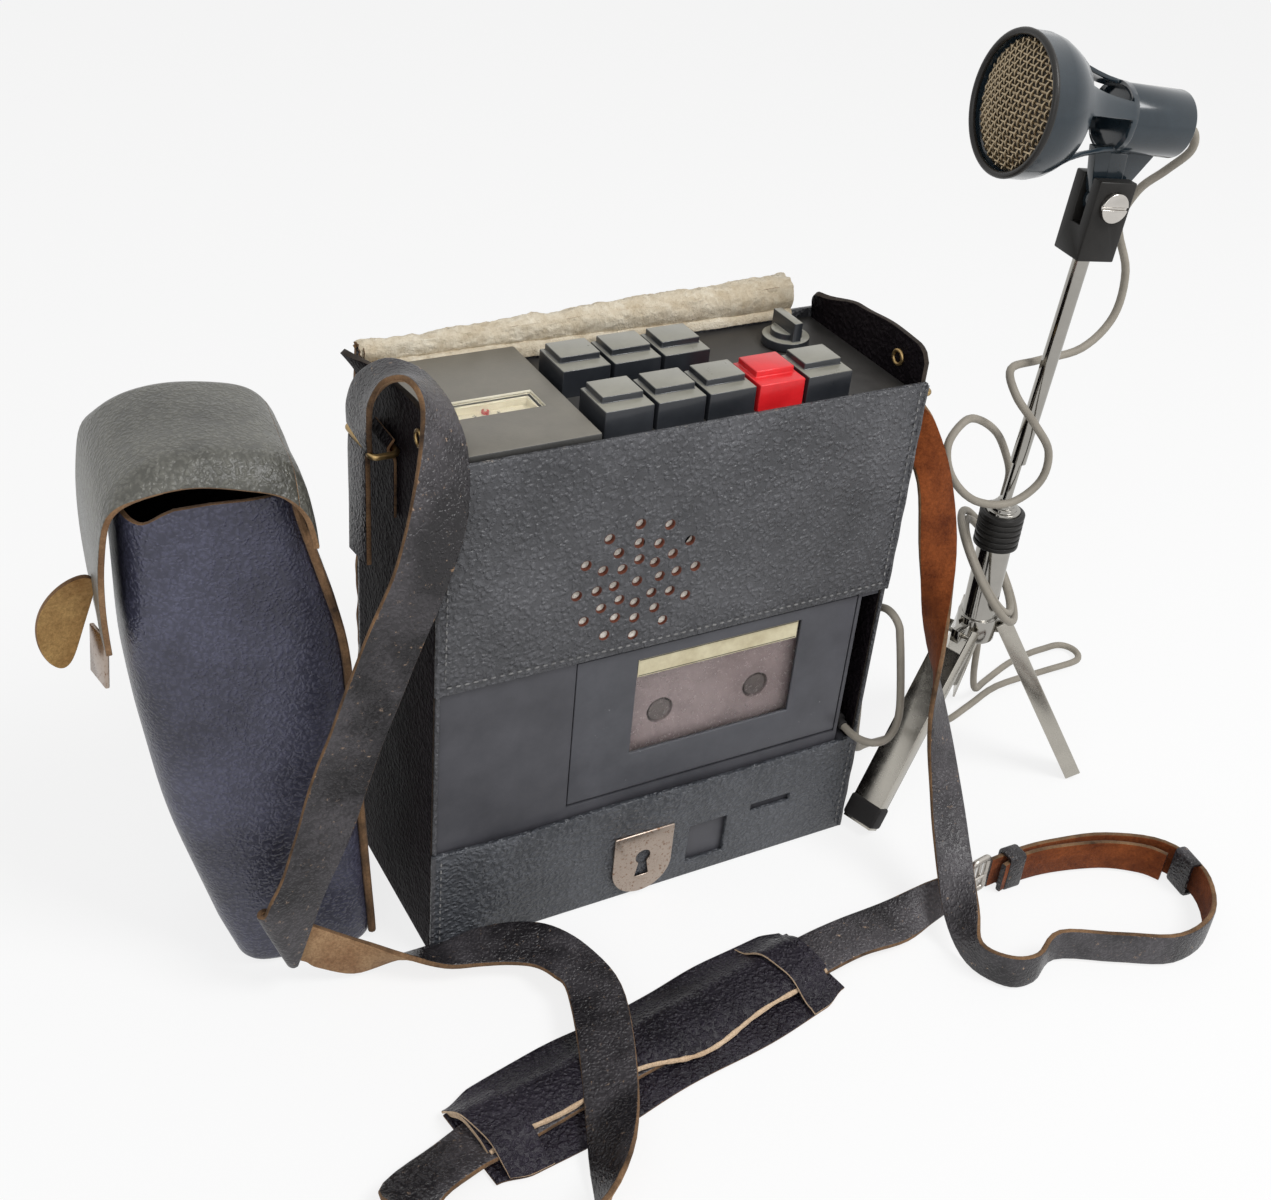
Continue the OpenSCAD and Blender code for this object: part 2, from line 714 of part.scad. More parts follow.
// Cassette shell, hollow for its reels, open at its upper edge for the heads and the capstan
module cassette_shell() {
    left = lid_x - cassette_w / 2;
    right = lid_x + cassette_w / 2;
    mid = reel_h / 2 + slack;
    color("#5b5550", 0.8)
        difference() {
            union() {
                block([left, cassette_y - cassette_t / 2, cassette_z],
                    [right, cassette_y + cassette_t / 2, cassette_top]);
                block([left + 16, cassette_y - cassette_edge_t / 2, cassette_top - 15],
                    [right - 16, cassette_y + cassette_edge_t / 2, cassette_top]);
            }
            for (s = [-1, 1]) {
                rod_y(lid_x + s * hub_pitch / 2, hub_z0, reel_bore + 0.6, cassette_y - 10, cassette_y + 10);
                rod_y(lid_x + s * hub_pitch / 2, hub_z0, 25, cassette_y - mid, cassette_y + mid);
                block([lid_x + s * 24 - 7.5, cassette_y - 4, cassette_top - 6.4],
                    [lid_x + s * 24 + 7.5, cassette_y + 4, cassette_top + 1]);
                rod_y(lid_x + s * 24, capstan_z, 3, cassette_y - 4, cassette_y + 10);
            }
            block([lid_x - 8.5, cassette_y - 4, cassette_top - 6.4],
                [lid_x + 8.5, cassette_y + 4, cassette_top + 1]);
        }
}

// Reel of a cassette: its hub and the tape wound on it
module reel(x, tape_r) {
    color("#3a2c22")
        difference() {
            rod_y(x, hub_z0, max(tape_r, reel_r), cassette_y - reel_h / 2, cassette_y + reel_h / 2);
            rod_y(x, hub_z0, reel_bore, cassette_y - reel_h, cassette_y + reel_h);
        }
}

module supply_reel() { reel(lid_x + hub_pitch / 2, full_tape_r); }
module takeup_reel() { reel(lid_x - hub_pitch / 2, bare_tape_r); }

// Spindle of the deck, with its turntable in front of the chassis plate
module spindle(x) {
    color("#d8d5cc") {
        rod_y(x, hub_z0, spindle_r, cassette_y - 4, cassette_y + 6);
        rod_y(x, hub_z0, 12, cassette_y + 5.5, chassis_y - slack);
        rod_y(x, hub_z0, 2, chassis_y - 1, chassis_y + chassis_t + slack);
        rod_y(x, hub_z0, 3.5, chassis_y + chassis_t + slack, chassis_y + chassis_t + 1.5);
    }
}

module supply_spindle() { spindle(lid_x + hub_pitch / 2); }
module takeup_spindle() { spindle(lid_x - hub_pitch / 2); }

// Chassis plate behind the cassette, on the front housing's posts
module chassis_plate() {
    color("#b7b9ba")
        difference() {
            block([post_x[0] - post_r, chassis_y, post_z[0] - post_r],
                [post_x[1] + post_r, chassis_y + chassis_t, chassis_top]);
            for (s = [-1, 1])
                rod_y(lid_x + s * hub_pitch / 2, hub_z0, 2 + run_gap, chassis_y - 1, chassis_y + 4);
            rod_y(capstan_x, capstan_z, capstan_r + run_gap, chassis_y - 1, chassis_y + 4);
        }
}

// Flywheel on the capstan shaft
module flywheel() {
    color("#c9b27a") {
        rod_y(capstan_x, capstan_z, flywheel_r, flywheel_y, flywheel_y + flywheel_t);
        rod_y(capstan_x, capstan_z, 4, chassis_y + chassis_t + slack, flywheel_y + 1);
        rod_y(capstan_x, capstan_z, capstan_r, cassette_y - 3.5, flywheel_y + flywheel_t + 3);
    }
}

// Motor on two pillars of the chassis plate
module motor() {
    color("#8d9093")
        difference() {
            union() {
                rod_y(motor_x, motor_z, motor_r, motor_y, motor_y + motor_l);
                for (s = [-1, 1])
                    rod_y(motor_x, motor_z + s * (motor_r - 3), 2.5, chassis_y + chassis_t, motor_y + 1);
            }
            rod_y(motor_x, motor_z, 1.2 + run_gap, motor_y - 1, motor_y + 10);
        }
}

module motor_pulley() {
    color("#c9b27a") {
        rod_y(motor_x, motor_z, pulley_r, flywheel_y, flywheel_y + flywheel_t);
        rod_y(motor_x, motor_z, 1.2, flywheel_y, motor_y + 8);
    }
}

// Outline of a belt round two wheels, a little larger so that its chords clear them
function on_circle(r, a) = r * [cos(a), sin(a)];
function belt_points(grow) =
    let (reach = norm([capstan_x - motor_x, capstan_z - motor_z]),
        big = (flywheel_r + grow) / cos(180 / belt_sides),
        small = (pulley_r + grow) / cos(180 / belt_sides),
        turn = acos((small - big) / reach))
    concat([for (k = [0:belt_sides]) on_circle(small, turn + (360 - 2 * turn) * k / belt_sides)],
        [for (k = [0:belt_sides]) [reach, 0] + on_circle(big, -turn + 2 * turn * k / belt_sides)]);

module belt_outline(grow) {
    translate([motor_x, motor_z])
        rotate(atan2(capstan_z - motor_z, capstan_x - motor_x))
            polygon(belt_points(grow));
}

module drive_belt() {
    mid = flywheel_y + flywheel_t / 2;
    color("#101010")
        plate_xz(mid - belt_w / 2, mid + belt_w / 2)
            difference() {
                belt_outline(belt_t + run_gap);
                belt_outline(run_gap);
            }
}

// Head bridge: a sliding plate with the tape heads and the roller's pin
module head_bridge() {
    color("#a9abac") {
        block([lid_x - 32, bridge_y, bridge_z + 1], [lid_x + 34, bridge_y + bridge_t, bridge_z + 13]);
        for (x = [lid_x, lid_x - 24]) {
            block([x - 6, cassette_y - 3, bridge_z], [x + 6, cassette_y + 3, bridge_z + 9]);
            block([x - 4, cassette_y + 2, bridge_z + 4], [x + 4, bridge_y + 0.5, bridge_z + 9]);
        }
        rod_y(capstan_x, roller_z, 1, cassette_y - 4, bridge_y + 0.5);
    }
}

module pinch_roller() {
    color("#151515")
        difference() {
            rod_y(capstan_x, roller_z, roller_r, cassette_y - 3.5, cassette_y + 3.5);
            rod_y(capstan_x, roller_z, 1 + run_gap, cassette_y - 5, cassette_y + 5);
        }
}

// Circuit board with its larger parts
module circuit_board() {
    color("#3c6b45") {
        block([-board_x, board_y, board_z], [board_x, board_y + board_t, board_top]);
        block([4 - board_x, board_y - 14, board_z + 18], [26 - board_x, board_y + 0.2, board_z + 42]);
        for (k = [0:3])
            rod_y(12 - board_x + 12 * k, board_z + 78, 4.5, board_y - 12, board_y + 0.2);
        for (k = [0:4])
            block([board_x - 54 + 9 * k, board_y - 6, board_z + 18],
                [board_x - 49 + 9 * k, board_y + 0.2, board_z + 24]);
        rod_y(board_x - 24, board_top - 38, 8, board_y - 10, board_y + 0.2);
    }
}

// Loudspeaker: a rim, an open cone and a magnet
module loudspeaker() {
    rim_y = face_y + wall_t;
    depth = 12;
    color("#33302d")
        translate([speaker_x, rim_y, speaker_z])
            rotate([-90, 0, 0])
                rotate_extrude()
                    polygon([[speaker_r, 0], [speaker_r, 1.5], [speaker_r - 3, 1.5], [13, depth],
                        [13, depth + 9], [0, depth + 9], [0, depth - 1], [11, depth - 1], [speaker_r - 3, 0]]);
}

// Six cells lying in two rows across the bottom
module battery_cells() {
    low = body_z + wall_t + cell_r + 0.2;
    color("#9c8a4a")
        for (y = [-14.5, 14.5])
            for (k = [-1, 0, 1])
                rod_x(y, low, cell_r, k * (cell_l + 0.6) - cell_l / 2, k * (cell_l + 0.6) + cell_l / 2);
}

// One ear of the gusset: its upper edge leans by a distance at each end
module ear(x, y0, y1, lean0, lean1, h0, h1) {
    hull() {
        for (e = [[y0, lean0, h0], [y1, lean1, h1]])
            for (q = [[0, case_h - 1], [e[1], case_h + e[2] - 0.5]])
                translate([x + q[0], e[0], q[1]])
                    cube([leather_t, 0.5, 0.5]);
    }
}

// Gusset: both sides and the base in one strip, with the two ears
module case_gusset() {
    outer = case_w / 2;
    flat_y = eyelet_y + 7;
    mid_y = 6;
    end_y = inner_y - 1.5;
    color("#16161a")
        difference() {
            union() {
                plate_xz(-inner_y, inner_y)
                    difference() {
                        translate([-outer, 0])
                            square([case_w, case_h]);
                        translate([-inner_x, leather_t])
                            square([2 * inner_x, case_h]);
                    }
                ear(-outer, -inner_y, flat_y, 0, 0, ear_h - 1, ear_h);
                ear(-outer, flat_y, mid_y, 0, -2, ear_h, ear_h);
                ear(-outer, mid_y, end_y, -2, -9, ear_h, ear_h - 1);
                ear(inner_x, -inner_y, flat_y, 0, 0, ear_h, ear_h);
                ear(inner_x, flat_y, mid_y, 0, -1, ear_h, ear_h - 1);
                ear(inner_x, mid_y, end_y, -1, -9, ear_h - 1, ear_h - 6);
            }
            for (s = [-1, 1])
                rod_x(eyelet_y, case_h + 3, eyelet_r + run_gap, s * outer - 4, s * outer + 4);
        }
}

// Places of the speaker perforations: one in the middle and three rings
function perforations() = concat([[0, 0]],
    [for (k = [0:2]) for (j = [0:ring_counts[k] - 1])
        let (a = (k == 0 ? 0 : 2) + 360 * j / ring_counts[k])
        ring_radii[k] * [cos(a), sin(a)]]);

module case_front_panel() {
    color("#1b1b20")
        plate_xz(front_y, -inner_y)
            difference() {
                translate([-case_w / 2, panel_z])
                    square([case_w, case_h - panel_z]);
                for (h = perforations())
                    translate([speaker_x, speaker_z] + h)
                        circle(d = hole_d);
            }
}

module case_front_band() {
    color("#1b1b20")
        plate_xz(front_y, -inner_y)
            difference() {
                translate([-case_w / 2, 0])
                    square([case_w, band_h]);
                translate([port_x, port_z])
                    square([port_w, port_h], center = true);
                translate([slot_x, slot_z])
                    square([slot_w, slot_h], center = true);
            }
}

module case_back() {
    color("#1b1b20")
        block([-case_w / 2, inner_y, 0], [case_w / 2, case_d / 2, case_h - 1.5]);
}

// Flap thrown open: the suede roll along the back edge and the sheet that hangs behind
module top_flap() {
    left = flap_x - flap_w / 2;
    color("#b79a6a") {
        translate([left, flap_y, flap_z])
            rotate([0, 90, 0])
                cylinder(r1 = roll_left_r, r2 = roll_r, h = flap_w);
        block([left, flap_y + roll_left_r - leather_t, flap_end_z],
            [left + flap_w, flap_y + roll_left_r, flap_z]);
    }
}

// Shield-shaped clasp plate with a keyhole for the hasp
module clasp_plate() {
    r = clasp_w / 2;
    color("#c9c7c2")
        plate_xz(front_y - clasp_t, front_y)
            translate([clasp_x, clasp_z])
                difference() {
                    union() {
                        translate([0, r])
                            circle(r);
                        translate([-r, r])
                            square([clasp_w, clasp_h - r]);
                    }
                    translate([0, r + 5])
                        circle(3.2);
                    polygon([[-1.4, r + 4], [1.4, r + 4], [3.2, r - 5], [-3.2, r - 5]]);
                }
}

// Brass eyelets in the ears, and the two wire rings that carry the straps
module case_fittings() {
    outer = case_w / 2;
    color("#b08a45")
        for (s = [-1, 1]) {
            mid = s * (outer - leather_t / 2);
            difference() {
                union() {
                    rod_x(eyelet_y, case_h + 3, eyelet_r, mid - leather_t / 2 - 0.7, mid + leather_t / 2 + 0.7);
                    for (t = [-1, 1])
                        rod_x(eyelet_y, case_h + 3, eyelet_rim, mid + t * (leather_t / 2 + 0.55) - 0.25,
                            mid + t * (leather_t / 2 + 0.55) + 0.25);
                }
                rod_x(eyelet_y, case_h + 3, eyelet_r - 0.6, mid - 6, mid + 6);
            }
        }
    color("#b9b9b6")
        for (k = [0, 1])
            mirror([1 - k, 0, 0])
                translate([outer + ring_wire, ring_y[k], ring_z])
                    wire_loop(ring_out, ring_l, ring_wire);
}

// Flat ring of wire in the XY plane, standing out from x = 0
module wire_loop(out, span, r) {
    translate([out / 2, 0, -r])
        linear_extrude(2 * r)
            difference() {
                square([out + 2 * r, 2 * span + 2 * r], center = true);
                square([out - 2 * r, 2 * span - 2 * r], center = true);
            }
}

module strap_long() {
    color("#221d1c")
        band(strap_long_points, strap_long_sides, strap_long_widths, strap_t, 3);
}

module strap_short() {
    color("#3a2418")
        band(strap_short_points, strap_short_sides, strap_short_widths, strap_t, 3);
}

// Shoulder pad with rounded ends, lying under the long strap
module shoulder_pad() {
    color("#1c1c20")
        translate([pad_at[0], pad_at[1], 0])
            rotate(pad_turn)
                linear_extrude(pad_t)
                    difference() {
                        square([pad_l, pad_w], center = true);
                        for (s = [-1, 1])
                            for (t = [-1, 1])
                                translate([s * pad_l / 2, t * pad_w / 2])
                                    rotate(45)
                                        square(6, center = true);
                    }
}

// Wire buckle standing between the ends of the two straps
module strap_buckle() {
    color("#b5b0a6")
        translate([buckle_at[0], buckle_at[1], buckle_h / 2 + 0.3])
            rotate(buckle_turn)
                rotate([90, 0, 0])
                    linear_extrude(2 * buckle_wire, center = true)
                        difference() {
                            square([buckle_l, buckle_h], center = true);
                            square([buckle_l - 4 * buckle_wire, buckle_h - 4 * buckle_wire], center = true);
                        }
}

// Front outline of the pouch, moved inwards by a distance on every side but the mouth
function pouch_outline(t, top) = [[pouch_right[0] - t, t], [pouch_right[1] - t, top * 0.7],
    [pouch_hinge_x - t, top], [pouch_left[0] + t, top], [pouch_left[1] + t, top * 0.65],
    [pouch_left[2] + t, top * 0.37], [pouch_left[3] + t, 8 + t], [pouch_left[4] + t, t]];

// The pouch stands turned a little about its front face
module pouch_frame() {
    translate([pouch_pivot_x, pouch_y, 0])
        rotate(-pouch_turn)
            translate([-pouch_pivot_x, -pouch_y, 0])
                children();
}

module pouch_body() {
    color("#1d2030")
        pouch_frame()
            difference() {
                plate_xz(pouch_y, pouch_y + pouch_d)
                    polygon(pouch_outline(0, pouch_h));
                plate_xz(pouch_y + pouch_t, pouch_y + pouch_d - pouch_t)
                    polygon(pouch_outline(pouch_t, pouch_h + 4));
            }
}

// Hood of the pouch: a bent sheet from its hinge edge over the mouth and down the left side
module pouch_flap() {
    color("#22252f")
        pouch_frame()
            translate([pouch_hinge_x, 0, pouch_hinge_z])
                plate_xz(pouch_y - 2, pouch_y + pouch_d + 2)
                    for (k = [0:len(pouch_hood) - 2])
                        strip(pouch_hood[k], pouch_hood[k + 1], pouch_t);
}

// Straight strip between two points of an outline, with round ends
module strip(a, b, thick) {
    d = b - a;
    translate(a)
        rotate(atan2(d[1], d[0])) {
            translate([0, -thick / 2])
                square([norm(d), thick]);
            circle(thick / 2);
            translate([norm(d), 0])
                circle(thick / 2);
        }
}

// A point that turns with the clip and the microphone
function head_point(p) =
    let (u = [sin(lean), 0, cos(lean)], o = [stand_x, stand_y, collar_top], v = p - o)
    o + v * cos(head_turn) + cross(u, v) * sin(head_turn) + u * (u * v) * (1 - cos(head_turn));

// Turns the clip and the microphone about the leaning tube
module head_turned() {
    translate([stand_x, stand_y, collar_top])
        rotate([0, lean, 0])
            rotate(head_turn)
                rotate([0, -lean, 0])
                    translate([-stand_x, -stand_y, -collar_top])
                        children();
}

// Frame of the microphone: its axis is local Z, from the barrel's tail to the head
module mic_frame() {
    translate([mic_x, stand_y, mic_z])
        rotate([0, mic_tilt, 0])
            children();
}

// Head: an open bowl on four arms
module mic_head() {
    bowl = barrel_l + arm_l;
    rim = barrel_l + head_l;
    color("#1a1c20")
        mic_frame() {
            rotate_extrude()
                polygon([[13, bowl], [16, bowl], [head_r - 4, bowl + 12], [head_r, rim - 7], [head_r, rim],
                    [head_r - 2, rim], [head_r - 2, rim - 4], [head_r - 6, bowl + 13], [13, bowl + 2]]);
            translate([0, 0, barrel_l])
                cylinder(r = barrel_r, h = 3);
            for (a = [45:90:315])
                rotate(a)
                    translate([barrel_r - 2.5, -3, barrel_l + 1])
                        cube([5.5, 6, arm_l - 0.5]);
        }
}

// Grille: a shallow dome in the rim of the head
module mic_grille() {
    rim = barrel_l + head_l;
    dome = head_r - 2.3;
    rise = 5;
    ball = (dome * dome + rise * rise) / (2 * rise);
    color("#a88f63")
        mic_frame()
            translate([0, 0, rim - 3.7])
                difference() {
                    intersection() {
                        translate([0, 0, rise - ball])
                            sphere(ball);
                        cylinder(r = dome, h = rise + 1);
                    }
                    translate([0, 0, rise - ball - 1])
                        sphere(ball);
                }
}

// Barrel with the holder's ring and the tongue that turns on the clip screw
module mic_barrel() {
    color("#15171b")
        difference() {
            union() {
                mic_frame() {
                    cylinder(r = barrel_r, h = barrel_l);
                    translate([0, 0, -4])
                        cylinder(r = cord_d / 2 + 1.6, h = 5);
                }
                block([pivot_x - 2, stand_y - clip_slot / 2 + slack, pivot_z],
                    [pivot_x + 6, stand_y + clip_slot / 2 - slack, mic_z - barrel_r / 2]);
                rod_y(pivot_x, pivot_z, 6, stand_y - clip_slot / 2 + slack, stand_y + clip_slot / 2 - slack);
            }
            rod_y(pivot_x, pivot_z, clip_pin_r + run_gap, stand_y - 10, stand_y + 10);
        }
}

// Leaning frame of the rod: local Z runs up the tube from the collar's upper face
module lean_frame() {
    translate([stand_x, stand_y, collar_top])
        rotate([0, lean, 0])
            children();
}

// Clip: a fork on the tube's upper end
module mic_clip() {
    color("#17181a")
        lean_frame()
            difference() {
                translate([-clip_w / 2, -clip_w / 2, clip_z])
                    cube([clip_w, clip_w, clip_h]);
                translate([-clip_w, -clip_slot / 2, pivot_up - 9])
                    cube([2 * clip_w, clip_slot, clip_h]);
                translate([0, 0, pivot_up])
                    rotate([90, 0, 0])
                        cylinder(r = clip_pin_r + run_gap, h = 2 * clip_w, center = true);
                translate([0, 0, clip_z - 1])
                    cylinder(r = tube_r + run_gap, h = tube_seat + 1);
            }
}

// Large slotted screw, the pivot of the clip
module clip_screw() {
    front = -clip_w / 2;
    color("#d9dadb")
        lean_frame()
            translate([0, 0, pivot_up])
                rotate([90, 0, 0])
                    difference() {
                        union() {
                            translate([0, 0, front])
                                cylinder(r = clip_pin_r, h = clip_w);
                            translate([0, 0, -front])
                                cylinder(r = 5.5, h = 2.2);
                        }
                        translate([-6, -0.5, -front + 1.4])
                            cube([12, 1, 2]);
                    }
}

// Chrome tube that slides on the rod
module stand_tube() {
    color("#cfd3d8")
        lean_frame()
            difference() {
                translate([0, 0, tube_z])
                    cylinder(r = tube_r, h = tube_l);
                translate([0, 0, tube_z - 1])
                    cylinder(r = rod_r + run_gap, h = rod_top + slide_down + 2 - tube_z);
            }
}

// Column of the tripod: the hub with three lugs, a stepped neck and the rod
module tripod_column() {
    steps = [[7, 0], [5.5, 1.4], [4.2, 2.8], [3.2, 4.2]];
    color("#c4c9cf")
        difference() {
            union() {
                rod_z(stand_x, stand_y, hub_r, hub_z - 5, hub_z + 6);
                rod_z(stand_x, stand_y, column_r, hub_z, collar_top);
                for (s = steps)
                    rod_z(stand_x, stand_y, s[0], collar_top - 0.5, collar_top + s[1] + 1);
                lean_frame()
                    cylinder(r = rod_r, h = rod_top);
                for (a = leg_azimuths)
                    leg_place(a)
                        block([-leg_pivot_r + hub_r - 2, -2, -3], [3, 2, 3]);
            }
            for (a = leg_azimuths)
                leg_place(a)
                    rotate([90, 0, 0])
                        cylinder(r = leg_pin_r + run_gap, h = 8, center = true);
        }
}

module leg_place(azimuth) {
    translate([stand_x, stand_y, hub_z])
        rotate(azimuth)
            translate([leg_pivot_r, 0, 0])
                children();
}

// Ribbed collar round the top of the column
module stand_collar() {
    rib = collar_h / 6;
    color("#141416")
        difference() {
            union() {
                rod_z(stand_x, stand_y, collar_r - 0.8, collar_z, collar_top);
                for (k = [0:5])
                    rod_z(stand_x, stand_y, collar_r, collar_z + (k + 0.15) * rib, collar_z + (k + 0.85) * rib);
            }
            rod_z(stand_x, stand_y, column_r + run_gap, collar_z - 1, collar_top + 1);
        }
}

// Folding leg: a channel of bent sheet with its pivot pin
module leg(k) {
    w = leg_widths[k];
    color("#bfc4c9")
        leg_place(leg_azimuths[k])
            rotate([0, -splay, 0]) {
                difference() {
                    translate([-leg_depth / 2, -w / 2, -leg_l])
                        cube([leg_depth, w, leg_l + 4]);
                    translate([-leg_depth, -w / 2 + leg_sheet, -leg_l - 1])
                        cube([1.5 * leg_depth - leg_sheet, w - 2 * leg_sheet, leg_l + 6]);
                    translate([-leg_depth, -w / 2 + leg_sheet, -7])
                        cube([2 * leg_depth, w - 2 * leg_sheet, 20]);
                }
                rotate([90, 0, 0])
                    cylinder(r = leg_pin_r, h = w, center = true);
            }
}

module leg_left() { leg(0); }
module leg_right() { leg(1); }
module leg_back() { leg(2); }

// Least gap of a cord to itself, leaving out points that follow each other closely
function least_gap(line, skip) = min([for (i = [0:len(line) - 1]) for (j = [i + skip:1:len(line) - 1])
    norm(line[i] - line[j])]) - cord_d;

module mic_cord_upper() {
    echo(least_gap_upper = least_gap(cord_upper, 5));
    color("#8f897c")
        tube(cord_upper, cord_d / 2, 8);
}

module mic_cord_lower() {
    echo(least_gap_lower = least_gap(cord_lower, 7));
    color("#8f897c")
        tube(cord_lower, cord_d / 2, 6);
}

// Plug in the recess beside the face
module mic_plug() {
    back = face_y + recess_d;
    color("#4a4a4c") {
        rod_y(plug_x, plug_z, plug_r, back - plug_l, back);
        rod_y(plug_x, plug_z, cord_d / 2 + 0.5, back - plug_l - 3.4, back - 1);
    }
}

front_housing();
rear_housing();
top_deck();
meter_panel();
meter_window();
meter_needle();
key_rewind();
key_stop();
key_play();
key_record();
key_forward();
key_eject();
key_pause();
key_battery();
volume_knob();
cassette_lid();
lid_window();
cassette_shell();
supply_reel();
takeup_reel();
supply_spindle();
takeup_spindle();
chassis_plate();
flywheel();
motor();
motor_pulley();
drive_belt();
head_bridge();
pinch_roller();
circuit_board();
loudspeaker();
battery_cells();
housing_screws();
case_gusset();
case_front_panel();
case_front_band();
case_back();
top_flap();
clasp_plate();
case_fittings();
strap_long();
strap_short();
shoulder_pad();
strap_buckle();
pouch_body();
pouch_flap();
head_turned() mic_head();
head_turned() mic_grille();
head_turned() mic_barrel();
head_turned() mic_clip();
head_turned() clip_screw();
stand_tube();
tripod_column();
stand_collar();
leg_left();
leg_right();
leg_back();
mic_cord_upper();
mic_cord_lower();
mic_plug();
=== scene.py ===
# %% [markdown]
# # A cassette recorder in its leather case
# The imported CAD model is loaded first, as a frame that never moves.
# Every piece made below sits in the same metres, so the numbers are the part's own millimetres.

# %% The frame
import math

import bmesh
import bpy
from mathutils import Matrix, Vector, noise


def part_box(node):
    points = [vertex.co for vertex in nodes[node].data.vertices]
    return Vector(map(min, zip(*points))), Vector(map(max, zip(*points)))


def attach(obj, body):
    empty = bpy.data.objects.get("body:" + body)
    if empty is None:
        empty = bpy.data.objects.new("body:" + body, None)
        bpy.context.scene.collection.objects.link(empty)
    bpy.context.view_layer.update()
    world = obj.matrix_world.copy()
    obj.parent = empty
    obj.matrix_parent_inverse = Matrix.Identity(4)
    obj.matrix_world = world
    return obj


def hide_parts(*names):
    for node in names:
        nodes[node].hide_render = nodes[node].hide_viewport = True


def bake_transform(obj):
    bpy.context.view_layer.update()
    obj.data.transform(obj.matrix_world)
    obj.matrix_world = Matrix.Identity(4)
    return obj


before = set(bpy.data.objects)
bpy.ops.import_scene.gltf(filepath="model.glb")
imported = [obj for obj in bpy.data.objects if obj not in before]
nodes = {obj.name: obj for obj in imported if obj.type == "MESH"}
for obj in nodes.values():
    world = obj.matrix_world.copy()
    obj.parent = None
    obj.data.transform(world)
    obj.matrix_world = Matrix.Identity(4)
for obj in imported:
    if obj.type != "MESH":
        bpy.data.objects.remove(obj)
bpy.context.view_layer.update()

scene = bpy.context.scene
MM = 0.001


def mm(x, y, z):
    """A place in metres, from millimetres."""
    return Vector((x, y, z)) * MM


# %% [markdown]
# ## Camera
# The camera was fitted to the straight edges of the case, so it stands where the photographer stood.
# Its three axes are written out as directions, which is safer than angles that depend on an order of turning.

# %% Camera
lens = bpy.data.cameras.new("camera")
lens.lens = 46.16
lens.sensor_width = 36
lens.clip_start = 0.01
camera = bpy.data.objects.new("camera", lens)
scene.collection.objects.link(camera)
look = Vector((0.43531, 0.71058, -0.55279)).normalized()
side = look.cross(Vector((0.20212, 0.52121, 0.82915))).normalized()
turn = Matrix((side, side.cross(look), -look)).transposed().to_4x4()
camera.matrix_world = Matrix.Translation(mm(-267.37, -442.26, 459.05)) @ turn
scene.camera = camera
print("camera looks along", [round(v, 3) for v in look])

# %% [markdown]
# ## Helpers for shapes
# A cord, a strap and a wire are all one closed outline carried along a line.
# Blender's extrude operator makes each new ring, and the ring is then moved to its place.
# A rigid piece starts as a merged copy of its CAD node, and a bevel gives its edges the small
# radius that catches the light on a real moulding.

# %% Lines
def eased(points, steps):
    """A smooth line through points, with a number of steps between each two."""
    line = []
    for i in range(len(points) - 1):
        a, b = points[max(i - 1, 0)], points[i]
        c, d = points[i + 1], points[min(i + 2, len(points) - 1)]
        for j in range(steps):
            t = j / steps
            line.append(0.5 * (2 * b + (c - a) * t + (2 * a - 5 * b + 4 * c - d) * t * t
                               + (3 * b - a - 3 * c + d) * t * t * t))
    return line + [points[-1]]


def directions(line, closed=False):
    """The direction of a line at each of its points."""
    n = len(line)
    if closed:
        return [(line[(i + 1) % n] - line[i - 1]).normalized() for i in range(n)]
    return [(line[min(i + 1, n - 1)] - line[max(i - 1, 0)]).normalized() for i in range(n)]


def length_of(line):
    """The length of a line through its points."""
    return sum((b - a).length for a, b in zip(line, line[1:]))


print("a line through 3 places in 4 steps has", len(eased([mm(0, 0, 0), mm(1, 0, 0), mm(2, 1, 0)], 4)), "points")

# %% Sweeps
def extrude_ring(bm, verts, edges, ring):
    """Extrudes a ring of edges and moves the new ring to its points."""
    place = {tuple(v.co): k for k, v in enumerate(verts)}
    made = bmesh.ops.extrude_edge_only(bm, edges=edges)["geom"]
    fresh = [None] * len(verts)
    for v in made:
        if isinstance(v, bmesh.types.BMVert):
            fresh[place[tuple(v.co)]] = v
    for v, p in zip(fresh, ring):
        v.co = p
    new_edges = [bm.edges.get((fresh[k - 1], fresh[k])) for k in range(len(fresh))]
    return fresh, new_edges


def sweep(bm, rings, closed=False, caps=True):
    """Carries a closed outline along by extruding it, ring by ring."""
    verts = [bm.verts.new(p) for p in rings[0]]
    edges = [bm.edges.new((verts[k - 1], verts[k])) for k in range(len(verts))]
    rows, first = [verts], edges
    for ring in rings[1:]:
        verts, edges = extrude_ring(bm, verts, edges, ring)
        rows.append(verts)
    if closed:
        bmesh.ops.bridge_loops(bm, edges=first + edges)
    elif caps:
        bmesh.ops.edgeloop_fill(bm, edges=first)
        bmesh.ops.edgeloop_fill(bm, edges=edges)
    return rows


def full_turn(count):
    """Angles all the way round, without the last one that meets the first."""
    return [2 * math.pi * k / count for k in range(count)]


def round_rings(line, radius, sides, closed=False):
    """Rings of a round wire along a line, carried without twist."""
    along = directions(line, closed)
    up = Vector((0.3, 1, 0.2))
    rings = []
    for p, d in zip(line, along):
        up = (up - d * up.dot(d)).normalized()
        other = d.cross(up)
        rings.append([p + radius * (math.cos(a) * up + math.sin(a) * other)
                      for a in full_turn(sides)])
    return rings


print("each side of a wire with 12 sides turns", round(math.degrees(full_turn(12)[1])), "degrees")

